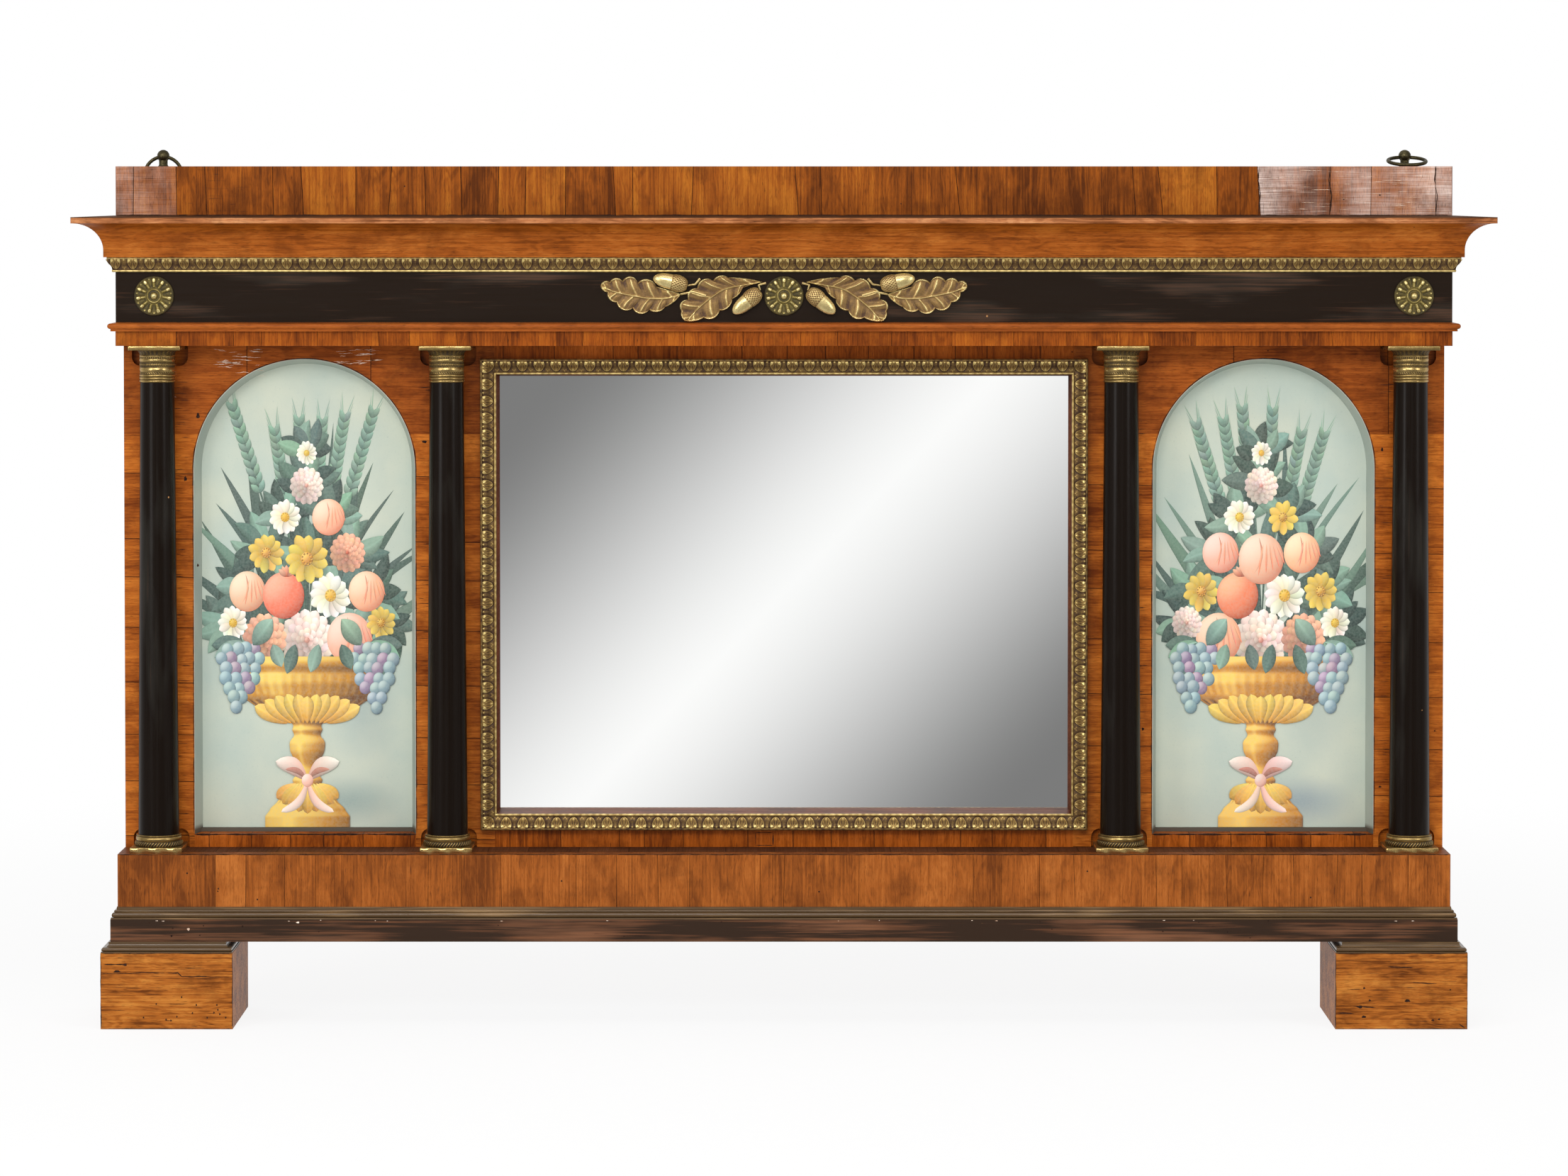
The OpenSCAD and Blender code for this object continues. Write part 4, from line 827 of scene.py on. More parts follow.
for name, length, turn in (
    ("bottom", half_w, 0), ("right", half_h, 1), ("top", half_w, 2), ("left", half_h, 3)
):
    s, O, A, bead = strip(profile, zone, 2 * length, die, edges=(0.2, 0.62))
    run = to_mitre(s, length, length - A)
    inward = (half_h if turn % 2 == 0 else half_w) - A
    c, d = ((1, 0), (0, 1), (-1, 0), (0, -1))[turn]
    x = c * run + d * inward
    z = d * run - c * inward
    pieces[name] = sheet(x, face - O, mid + z, bead)
frame_strip = join("gallery_stamped", pieces, stamped, "gilt_brass")
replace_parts(frame_strip, "gallery")

# %% [markdown]
# ## Turned capitals and bases
# Each capital and base is thin brass, spun over a form and knurled with engraved rollers: slanted strokes,
# chevrons and dots between plain bands. A lathe grid follows the solid's profile, and small waves round it
# play the rollers. The square plates are cast and carry the brightest worn edges.

# %% Lathe work
def lathe(x, y, z0, radius, z, wave, around=288):
    """A turned piece with engraving. radius and z are in mm, and wave gives relief and brightness"""
    T, Z = np.meshgrid(circle(around), z)
    relief, bright = wave(T, Z)
    R = radius[:, None] + relief
    return sheet(x + R * np.sin(T), y - R * np.cos(T), z0 + Z, bright, True)


def plate(x, y, z0, z1, half, dents):
    """A square cast plate with rounded, slightly dented edges"""
    r = 0.5
    profile = [(half - r - 8, 0), (half - r, 0), (half - 0.3 * r, 0.3 * r), (half, r)]
    profile += [
        (half, z1 - z0 - r), (half - 0.3 * r, z1 - z0 - 0.3 * r), (half - r, z1 - z0), (half - r - 8, z1 - z0)
    ]
    side = np.linspace(-1, 1, 41)[:-1]
    edge_x = np.concatenate([side, np.ones(40), -side, -np.ones(40)])
    edge_y = np.concatenate([-np.ones(40), side, np.ones(40), -side])
    points, bright = [], []
    for k, (h, z) in enumerate(profile):
        wob = dents * np.sin(edge_x * 9 + k) * np.cos(edge_y * 7)
        lift = wob * 0.6 * (1 <= k <= 6)
        reach = h + wob * (2 <= k <= 5)
        points.append(np.stack((x + edge_x * h, y + edge_y * reach, z0 + z + lift), -1))
        bright.append(np.full(160, 0.95 if 2 <= k <= 5 else 0.6))
    return np.concatenate(points), grid_faces(len(profile), 160, True), np.concatenate(bright)


def within(Z, a, b):
    """1 between two heights in mm, with soft ends"""
    return smooth_step(Z, a - 0.15, a + 0.15) * (1 - smooth_step(Z, b - 0.15, b + 0.15))


def lid(x, y, z, half, order, bright):
    """One square face, just inside the edge of a plate"""
    reach = half * 0.97
    corners = [(x + sx * reach, y + sy * reach, z) for sx, sy in ((-1, -1), (1, -1), (1, 1), (-1, 1))]
    return np.array(corners), np.array([order]), np.full(4, bright)


def capital_wave(T, Z):
    slant = np.cos(44 * T + 2.2 * Z)
    chevron = np.cos(30 * T + 1.6 * np.abs(Z - 18.4)) * np.cos(30 * T - 0.4)
    dots = np.cos(48 * T)
    scale_ = np.cos(26 * T + (np.floor(Z / 1.5) % 2) * np.pi) * np.cos((Z - 28) * 2.1)
    cut = 0.22 * (
        within(Z, 9.0, 11.0) * slant + within(Z, 15.6, 21.4) * chevron * 1.3 + within(Z, 24.8, 26.4) * dots
    )
    cut = cut + 0.2 * within(Z, 28.3, 33.2) * scale_
    plain = within(Z, 11.2, 15.3) + within(Z, 21.7, 24.6) + within(Z, 26.6, 28.1)
    rings = within(Z, 0, 8.8) * (0.5 + 0.5 * np.cos((Z - 1.5) / 2.9 * 2 * np.pi))
    bright = np.clip(0.42 + 1.5 * cut + 0.42 * plain + 0.4 * rings - 0.15 * within(Z, 28.3, 33.5), 0, 1)
    return cut, bright


def base_wave(T, Z):
    rope = np.cos(50 * T - 1.5 * Z)
    cut = 0.34 * within(Z, 0.3, 5.1) * (np.abs(rope) ** 0.6 * np.sign(rope))
    bright = np.clip(0.24 + 1.3 * cut + 0.46 * within(Z, 5.9, 9.9) + 0.3 * within(Z, 10.5, 12.0), 0, 1)
    return cut, bright


z_cap = np.linspace(0, 33.5, 135)
r_cap = np.full_like(z_cap, 17.3)
r_cap += np.where(z_cap < 8.7, 0.1 + 1.0 * np.abs(np.sin(z_cap / 2.9 * np.pi)) ** 0.7, 0)
# the capital's bands: from and to in mm, height over the body, and swell in the middle
bands = [(8.7, 11.1, 0.35, 0), (11.1, 15.4, 0.5, 0.5), (15.4, 21.5, 0.55, 0), (21.5, 24.7, 0.7, 0.5)]
bands += [(24.7, 26.5, 0.6, 0), (26.5, 28.2, 0.7, 0.6)]
for a, b, over, swell in bands:
    inside = (z_cap >= a) & (z_cap < b)
    r_cap += np.where(inside, over + swell * np.sin((z_cap - a) / (b - a) * np.pi), 0)
flare = np.clip((z_cap - 28.2) / 5.3, 0, 1)
r_cap += np.where(z_cap >= 28.2, 0.7 + 5.1 * (1 - np.sqrt(1 - flare**2)), 0)

base_plate, base_rings = 5, 12  # mm, the heights of the square plate and of the rings over it
z_base = np.linspace(0, base_rings, 73)
r_base = np.full_like(z_base, 22.6)
r_base += 1.9 * np.sqrt(np.clip(1 - ((z_base - 2.7) / 2.7) ** 2, 0, 1))
r_base += 1.0 * np.sin(np.clip((z_base - 5.4) / 4.8, 0, 1) * np.pi) ** 0.7
r_base += 0.6 * np.sin(np.clip((z_base - 10.2) / 1.8, 0, 1) * np.pi)
for column in [n for n in nodes if n.startswith("shaft_")]:
    place = column.removeprefix("shaft_")
    low, high = box_mm(column)
    x, y = (low[0] + high[0]) / 2, (low[1] + high[1]) / 2
    low, high = box_mm("capital_" + place)
    half, top = (high[0] - low[0]) / 2, high[2]
    points, faces, bright = plate(x, y, top - 4.5, top, half, 0.05)
    pieces = {
        "turned": lathe(x, y, low[2], r_cap, z_cap, capital_wave),
        "plate": (points, faces, bright * 0.8),
        "under": lid(x, y, top - 4.4, half, (3, 2, 1, 0), 0.35),
    }
    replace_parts(join("capital_turned_" + place, pieces, turned, "gilt_brass"), "capital_" + place)
    low, high = box_mm("base_" + place)
    half, foot = (high[0] - low[0]) / 2, low[2]
    rim = foot + base_plate + base_rings
    ring = circle(96)
    lips = [
        np.stack((x + r * np.sin(ring), y - r * np.cos(ring), np.full(96, rim)), -1) for r in (22.6, 19.0)
    ]
    pieces = {
        "turned": lathe(x, y, foot + base_plate, r_base, z_base, base_wave, 432),
        "lip": (np.concatenate(lips), grid_faces(2, 96, True), np.full(192, 0.8)),
        "plate": plate(x, y, foot, foot + base_plate, half, 0.25),
        "over": lid(x, y, foot + 4.95, half, (0, 1, 2, 3), 0.3),
    }
    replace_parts(join("base_turned_" + place, pieces, turned, "gilt_brass"), "base_" + place)

# %% [markdown]
# ## Rosettes
# Three cast rosettes are pinned to the frieze: a rolled rim, eleven stalks that end in bright beads, a dark
# ring and a domed boss. One polar grid with a height function makes each.

# %% Rosettes
def rosette(x, z, back, reach=20.5, beads=11):
    r = np.concatenate([np.linspace(0, reach, 84), [reach]])
    T, R = np.meshgrid(circle(264), r)
    place = T * beads / (2 * np.pi)
    turn = (place - np.floor(place) - 0.5) * 2 * np.pi / beads
    side = R * np.sin(turn)
    height = 1.5 + 0.9 * (1 - smooth_step(R, 0, 9)) + 1.2 * bump_at(R, reach - 1.2, 1.1)
    boss = np.sqrt(np.clip(1 - (R / 3.7) ** 2, 0, 1))
    ring = bump_at(R, 6.7, 0.75)
    bead = np.sqrt(np.clip(1 - ((R - 16.0) ** 2 + side**2) / 2.5**2, 0, 1))
    stalk = bump_at(side, 0, 0.75 + 0.05 * R) * smooth_step(R, 8.2, 9.2) * (1 - smooth_step(R, 14.5, 16))
    notch = bump_at(np.abs(side), 1.9 + 0.02 * R, 0.5) * smooth_step(R, 8.5, 10)
    notch = notch * (1 - smooth_step(R, 16, 18))
    gap = R * np.sin(np.abs(turn) - np.pi / beads)
    spark = np.sqrt(np.clip(1 - ((R - 17.6) ** 2 + gap**2) / 1.1**2, 0, 1))
    height = height + 3.0 * boss + 0.9 * ring + 2.3 * bead + 0.9 * stalk - 0.5 * notch + 0.5 * spark
    height[-1] = 0
    bright = 0.1 + 0.8 * boss + 0.45 * ring + 0.8 * bead**1.3 + 0.42 * stalk - 0.3 * notch + 0.6 * spark
    bright = bright - 0.2 * smooth_step(R, reach - 2.4, reach - 1.2) - 0.2 * bump_at(R, 4.9, 0.9)
    return sheet(x + R * np.sin(T), back - height, z - R * np.cos(T), np.clip(bright, 0, 1), True)


low, high = box_mm("rosettes")
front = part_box("frieze_front")[0][1] / MM
middle = (low[2] + high[2]) / 2
shaft_x = (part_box("shaft_outer_right")[0][0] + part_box("shaft_outer_right")[1][0]) / 2 / MM
pieces = {x: rosette(x, middle, front, (high[2] - low[2]) / 2 - 0.3) for x in (-shaft_x, 0.0, shaft_x)}
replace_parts(join("rosettes_cast", pieces, bronze_gilt, "gilt_brass"), "rosettes")

# %% [markdown]
# ## Oak leaves and acorns
# The frieze carries a cast spray on each side of the middle rosette: two oak leaves with lobed, rolled rims,
# sunk blades and raised veins, and two acorns in hatched cups. A leaf is a grid that runs along its midrib and
# out to a lobed edge. Dirt with painted shade in the sunk blades, and rubbed rims, come from the same height
# function.

# %% Oak leaves
def along(points, count=260):
    """A smooth line through points, evenly spaced"""
    line = even_steps(points, count)
    wide = count // 16
    window = np.ones(2 * wide + 1) / (2 * wide + 1)
    soft = [np.convolve(np.pad(line[:, k], wide, "edge"), window, "valid") for k in (0, 1)]
    return np.stack(soft, -1)


def half_leaf(rib, notches, swells, hand, lift):
    """One side of a leaf: rows run along the midrib, columns from it to a lobed edge"""
    notches, count = np.array(notches, float), 260
    steps = np.hypot(*np.diff(notches, axis=0).T)
    place = np.linspace(0, 1, count) * steps.sum()
    lobe = np.clip(np.searchsorted(np.cumsum(steps), place), 0, len(steps) - 1)
    f = np.clip((place - np.concatenate([[0], np.cumsum(steps)])[lobe]) / steps[lobe], 0, 1)
    run = np.diff(notches, axis=0) / steps[:, None]
    out = np.stack((hand * run[:, 1], -hand * run[:, 0]), -1)
    swell = np.array(swells)[lobe] * np.sin(np.pi * f) ** 0.62
    edge = notches[lobe] + run[lobe] * (f * steps[lobe])[:, None] + out[lobe] * swell[:, None]
    line = along(rib, count)
    back = np.clip(np.arange(count) - 26 * np.sin(np.pi * np.arange(count) / count), 0, None)
    foot = np.stack([np.interp(back, np.arange(count), line[:, k]) for k in (0, 1)], -1)
    w = np.linspace(0, 1, 46)[None, :]
    spot = foot[:, None] + (edge - foot)[:, None] * w[..., None]
    far = np.hypot(*(edge - foot).T)[:, None]
    F, gap = f[:, None], far * (1 - w)
    curl = smooth_step(F, 0.0, 0.25) * smooth_step(F, 1.0, 0.75)
    rim = bump_at(gap, 1.15, 0.85) * (0.55 + 0.45 * curl)
    vein = bump_at(F, 0.5 + 0.1 * np.sin(3 * w), 0.075)
    vein = vein * smooth_step(w, 0.0, 0.12) * smooth_step(w, 0.93, 0.75)
    small = bump_at(np.mod(F * 4 + 0.25 * w, 1), 0.5, 0.12)
    small = small * smooth_step(w, 0.25, 0.5) * smooth_step(gap, 1.5, 3)
    fold = (1 - curl) * smooth_step(w, 0.25, 0.9)
    midrib = bump_at(far * w, 0, 1.0)
    height = lift + 0.9 * np.sin(np.pi * w) * curl + 1.5 * rim + 1.5 * midrib
    height = height + 0.8 * vein + 0.2 * small - 0.9 * fold
    height = height * smooth_step(gap, -0.1, 0.7)
    bright = 0.17 + 0.9 * rim + 0.65 * midrib + 0.45 * vein + 0.16 * small
    bright = bright - 0.16 * fold + 0.12 * np.sin(np.pi * w) * curl
    return spot[..., 0], height, spot[..., 1], np.clip(bright, 0, 1)


def acorn(cup_end, turn, length, lift):
    """An acorn lying on the frieze: a smooth nut out of a cup with a raised net"""
    s, a = np.linspace(0, 1, 90), circle(120)
    S, T = np.meshgrid(s, a, indexing="ij")
    cup = S < 0.45
    cup_r = 8.7 * np.sqrt(np.clip(1 - ((S - 0.31) / 0.32) ** 2, 0, 1)) ** 0.8
    nut_r = 7.9 * np.clip(1 - (np.clip(S - 0.42, 0, 1) / 0.58) ** 2.6, 0, 1) ** 0.55 + 0.02
    net = np.maximum(np.cos(9 * T + 30 * S) ** 2, np.cos(9 * T - 30 * S) ** 2) ** 3
    R = np.where(cup, np.maximum(cup_r, 0.02) + 0.55 * (net - 0.6) * (cup_r > 3), nut_r)
    c, d = aim(turn)
    side, up = R * np.sin(T), R * np.cos(T) * 0.74
    X, Z = cup_end[0] + c * S * length - d * side, cup_end[1] + d * S * length + c * side
    bright = np.where(cup, 0.15 + 0.7 * net, 0.86) - 0.4 * bump_at(S, 0.45, 0.012)
    return X, lift + up, Z, np.clip(bright, 0, 1)


def stalk(path, radius):
    """A thin round stem through points on the frieze, thinner at its end"""
    path = np.array(path, float)
    t = np.linspace(0, len(path) - 1, 24)
    x = np.interp(t, range(len(path)), path[:, 0])
    z = np.interp(t, range(len(path)), path[:, 1])
    a = circle(12)
    dx, dz = np.gradient(x), np.gradient(z)
    size = np.hypot(dx, dz)
    r = np.linspace(radius, radius * 0.7, 24)[:, None]
    X = x[:, None] - (dz / size)[:, None] * np.sin(a) * r
    Z = z[:, None] + (dx / size)[:, None] * np.sin(a) * r
    return X, 1.0 + r * (1 + np.cos(a)), Z, np.full_like(X, 0.7)


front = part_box("frieze_front")[0][1] / MM
level = 748.0  # mm, the height that the spray is drawn from
outer_rib = [
    (-105.2, 3.9), (-114.3, 0), (-129.9, -1.3), (-142.6, -0.3), (-159.8, 3), (-171.5, 5.2), (-188.1, 11.7)
]
outer_far = [(-105.2, 3.9), (-131.2, 11.7), (-150, 15), (-165.6, 16.9), (-178.6, 16.2), (-188.1, 11.7)]
outer_near = [
    (-105.2, 3.9), (-122.1, -9.8), (-138.4, -12.4), (-155.2, -10.7), (-171.5, -4.9), (-180.9, 5.2),
    (-188.1, 11.7),
]
inner_rib = [
    (-22, 15.9), (-45.4, 12.3), (-59.7, 9.8), (-70.1, 3.6), (-80.5, -4.2), (-90.9, -13.7), (-99.4, -24.7)
]
inner_far = [
    (-22, 15.9), (-57.8, 20.5), (-72.7, 17.2), (-89, 9.4), (-98.1, -2.3), (-105.2, -14), (-99.4, -24.7)
]
inner_near = [(-22, 15.9), (-43.5, 8.8), (-53.5, -1.6), (-66.2, -13.4), (-82.1, -20.8), (-99.4, -24.7)]
castings = [
    (acorn((-98.9, 12.2), 167, 36, 4.6), True),
    (acorn((-24.6, 7.2), 219.9, 36, 4.6), True),
    (half_leaf(outer_rib, outer_far, [0.3, 5.9, 6.1, 3.9, 3.3], 1, 1.9), False),
    (half_leaf(outer_rib, outer_near, [2, 3.9, 5.5, 5.5, 3.6, 1.8], -1, 1.9), False),
    (half_leaf(inner_rib, inner_far, [1.6, 3.9, 5.9, 4.9, 5.2, 2.9], 1, 2.5), False),
    (half_leaf(inner_rib, inner_near, [-1, 2, 4.2, 4.9, 1.6], -1, 2.5), False),
    (stalk([(-18.5, 15.0), (-26, 13), (-24.5, 7.5)], 1.3), True),
    (stalk([(-86, 19.5), (-91, 13.6), (-99, 12.5)], 1.3), True),
    (stalk([(-80, 2), (-93, 6), (-106, 3.6)], 1.7), True),
]
for hand, name in ((1, "left"), (-1, "right")):
    pieces = {}
    for k, ((X, Y, Z, bright), closed) in enumerate(castings):
        pieces[k] = sheet(hand * X, front - np.maximum(Y, 0.0), level + Z, bright, closed, hand < 0)
    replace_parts(join("oak_cast_" + name, pieces, cast_gilt, "gilt_brass"), "oak_mount_" + name)

# %% [markdown]
# ## The painted panels
# Each arch holds a still life in body colour: a gilt fluted bowl on a baluster foot, heaped with fruit, daisies
# and dahlias between laurel and ears of corn. Every petal, leaf and fruit is one brush shape: a small grid of
# points with its own colours, laid a hair's breadth over the shape before it. Where a shape's cover is thin,
# the ground of the board shows through.

# %% Brush shapes
def tints(*codes):
    return [np.array(linear(code)[:3]) for code in codes]


def blend(a, b, t):
    return a + (b - a) * np.clip(t, 0, 1)[..., None]


def lay(art, x, z, colour, cover=1.0):
    """Lays a grid of points, in mm from the foot of the panel's middle, over the picture"""
    # each shape lies 0.0015 mm over the one before it
    depth = np.full_like(x, -0.04 - 0.0015 * len(art["faces"]))
    art["faces"].append(grid_faces(*x.shape) + sum(len(p) for p in art["points"]))
    art["points"].append(points_of(x, depth, z))
    colour = colour * art["chance"].normal(1, 0.04, 3)
    cover = np.broadcast_to(cover, x.shape)[..., None]
    art["paint"].append(np.concatenate((np.clip(colour, 0, 1), cover), -1).reshape(-1, 4))


def petal(art, x, z, turn, length, width, near, far, widest=1.0, blunt=0.75, bend=0.0, light=0.22, rib=0.0):
    """A petal or a leaf from a point, turned in degrees; widest over 1 moves the widest place to the tip"""
    T, W = np.meshgrid(np.linspace(0, 1, 13), np.linspace(-1, 1, 7), indexing="ij")
    half = width / 2 * np.sin(np.pi * T**widest) ** blunt
    along = length * (T + 0.07 * np.abs(W) * np.sin(np.pi * T) * (rib > 0))
    side = half * W + bend * np.sin(np.pi * T)
    c, s = aim(turn)
    veins = rib * (0.35 * np.cos(np.pi * np.arange(13))[:, None] * np.abs(W) + 1.5 * (W == 0))
    shade = 1 + light * W * (1 if c > 0 else -1) - 0.2 * W**4 + veins
    lay(art, x + c * along - s * side, z + s * along + c * side, blend(near, far, T) * shade[..., None])


def fruit(art, x, z, r, dark, mid, light):
    """A round fruit, lit from the upper left"""
    R, A = np.meshgrid(np.linspace(0, 1, 8), np.linspace(0, 2 * np.pi, 29), indexing="ij")
    u, v = R * np.cos(A), R * np.sin(A)
    lit = -0.5 * u + 0.62 * v + 0.6 * np.sqrt(1 - R**2)
    colour = blend(blend(dark, mid, (lit + 0.55) / 0.85), light, (lit - 0.45) / 0.6)
    lay(art, x + r * u, z + r * v, colour)


def daisy(art, x, z, r, near, far, core, count=13):
    start = art["chance"].uniform(0, 360)
    for k in range(count):
        reach = r * art["chance"].uniform(0.9, 1.05)
        petal(art, x, z, start + 360 * k / count, reach, 0.5 * r, near, far, 1.5, 0.6)
    fruit(art, x, z, 0.27 * r, *core)
    for k in range(9):
        fruit(art, x + 0.2 * r * math.cos(0.7 * k), z + 0.2 * r * math.sin(0.7 * k), 0.05 * r, *core[::-1])


def dahlia(art, x, z, r, deep, middle, pale):
    """Rings of cupped petals, each ring smaller and deeper in colour at its foot"""
    fruit(art, x, z, 0.8 * r, deep * 0.8, deep, middle)
    for ring, (reach, count) in enumerate(((1.0, 15), (0.8, 13), (0.6, 10), (0.4, 8), (0.24, 5))):
        start = art["chance"].uniform(0, 360)
        for k in range(count):
            turn = start + 360 * k / count
            lit = 0.85 + 0.3 * math.sin(math.radians(turn + 35))
            wide = 0.42 * r * (0.4 + reach * 0.6)
            petal(art, x, z, turn, r * reach, wide, deep * lit, pale * lit, 1.7, 0.5, rib=0.03)
    fruit(art, x, z, 0.09 * r, deep * 0.6, deep, middle)


def stem(art, x, z, turn, length, width, near, far, bend=0.0):
    """A long blade or stalk, widest near its foot"""
    petal(art, x, z, turn, length, width, near, far, 0.75, 0.8, bend, 0.1)


def laurel(art, x, z, turn, length, width, near, far, bend=0.0):
    """A broad leaf with a pale midrib"""
    petal(art, x, z, turn, length, width, near, far, 0.85, 0.85, bend, 0.3, 0.16)


def acanthus(art, x, z, turn, length, width, near, far):
    """A gilt leaf that wraps the bowl or its foot"""
    petal(art, x, z, turn, length, width, near, far, 1.25, 0.6, 0.0, 0.25, 0.14)


def corn(art, x, z, turn, length, near, far):
    """A stalk with an ear of grains in two rows and a beard"""
    c, s = aim(turn)
    stem(art, x, z, turn, length, 2.4, near * 0.6, near)
    for k in range(11):
        at = length * (0.62 + 0.38 * k / 11)
        for side in (-1, 1):
            px, pz = x + c * at, z + s * at
            petal(art, px, pz, turn + side * 14, 30, 0.9, far * 0.8, far)
            petal(art, px, pz, turn + side * (34 - k), 13.5, 6.4, near, far, 1.0, 0.8)


def turned_vase(art, profile, flutes, dark, mid, light):
    """A gilt vessel from heights and radii, with flutes between two heights"""
    heights, radii = (np.array(v, float) for v in zip(*profile))
    z = np.linspace(heights[0], heights[-1], 150)
    r = np.interp(z, heights, radii)
    r = np.convolve(np.pad(r, 2, "edge"), np.ones(5) / 5, "valid")
    W, Z = np.meshgrid(np.sin(np.linspace(-np.pi / 2, np.pi / 2, 91)), z)
    lean = np.gradient(r, z)[:, None]
    lit = (-0.5 * W + 0.55 * np.sqrt(1 - W**2) - 0.62 * lean) / np.sqrt(1 + lean**2)
    turn = np.arcsin(np.clip(W, -1, 1))
    for bottom, top, count, depth in flutes:
        zone = smooth_step(Z, bottom, bottom + 3) * smooth_step(Z, top, top - 3)
        lit = lit + zone * depth * (np.sin(turn * count) - 0.8 * bump_at(np.cos(turn * count / 2), 0, 0.2))
    lit = lit + 0.25 * bump_at(W, -0.45, 0.16) + 0.14 * bump_at(W, 0.93, 0.07)
    colour = blend(blend(dark, mid, (lit + 0.45) / 0.75), light, (lit - 0.3) / 0.6)
    lay(art, W * r[:, None], Z, colour)


# %% Paint the two panels
ochre = tints("6a3c12", "c5882a", "f2cb62")
greens = tints("33443f", "4d625a", "73907f", "94b59f")
coral = tints("a8452f", "e5795a", "f4b493")
peach = tints("c9765a", "eeb08e", "f8ddc2")
rose = tints("c98573", "efb9a6", "f8e3d6")
yellow = tints("a3741c", "d3a328", "eccb5c")
grape = tints("4c5f6c", "7f97a0", "c3d3cf")
plum = tints("5b4a63", "8b7390", "cbb9c4")
cream = tints("c9b98c", "efe6cc", "faf6e8")
vessel = [
    (4, 47), (17, 47), (18, 42), (23, 42), (25, 37), (33, 30), (40, 19), (46, 14), (49, 17), (52, 17),
    (54, 12),
]
vessel += [
    (64, 10), (78, 19), (88, 20), (95, 13), (98, 17), (102, 17), (104, 13), (110, 24), (120, 52), (132, 72)
]
vessel += [(146, 80), (158, 80), (160, 84), (164, 88), (170, 88), (172, 84)]


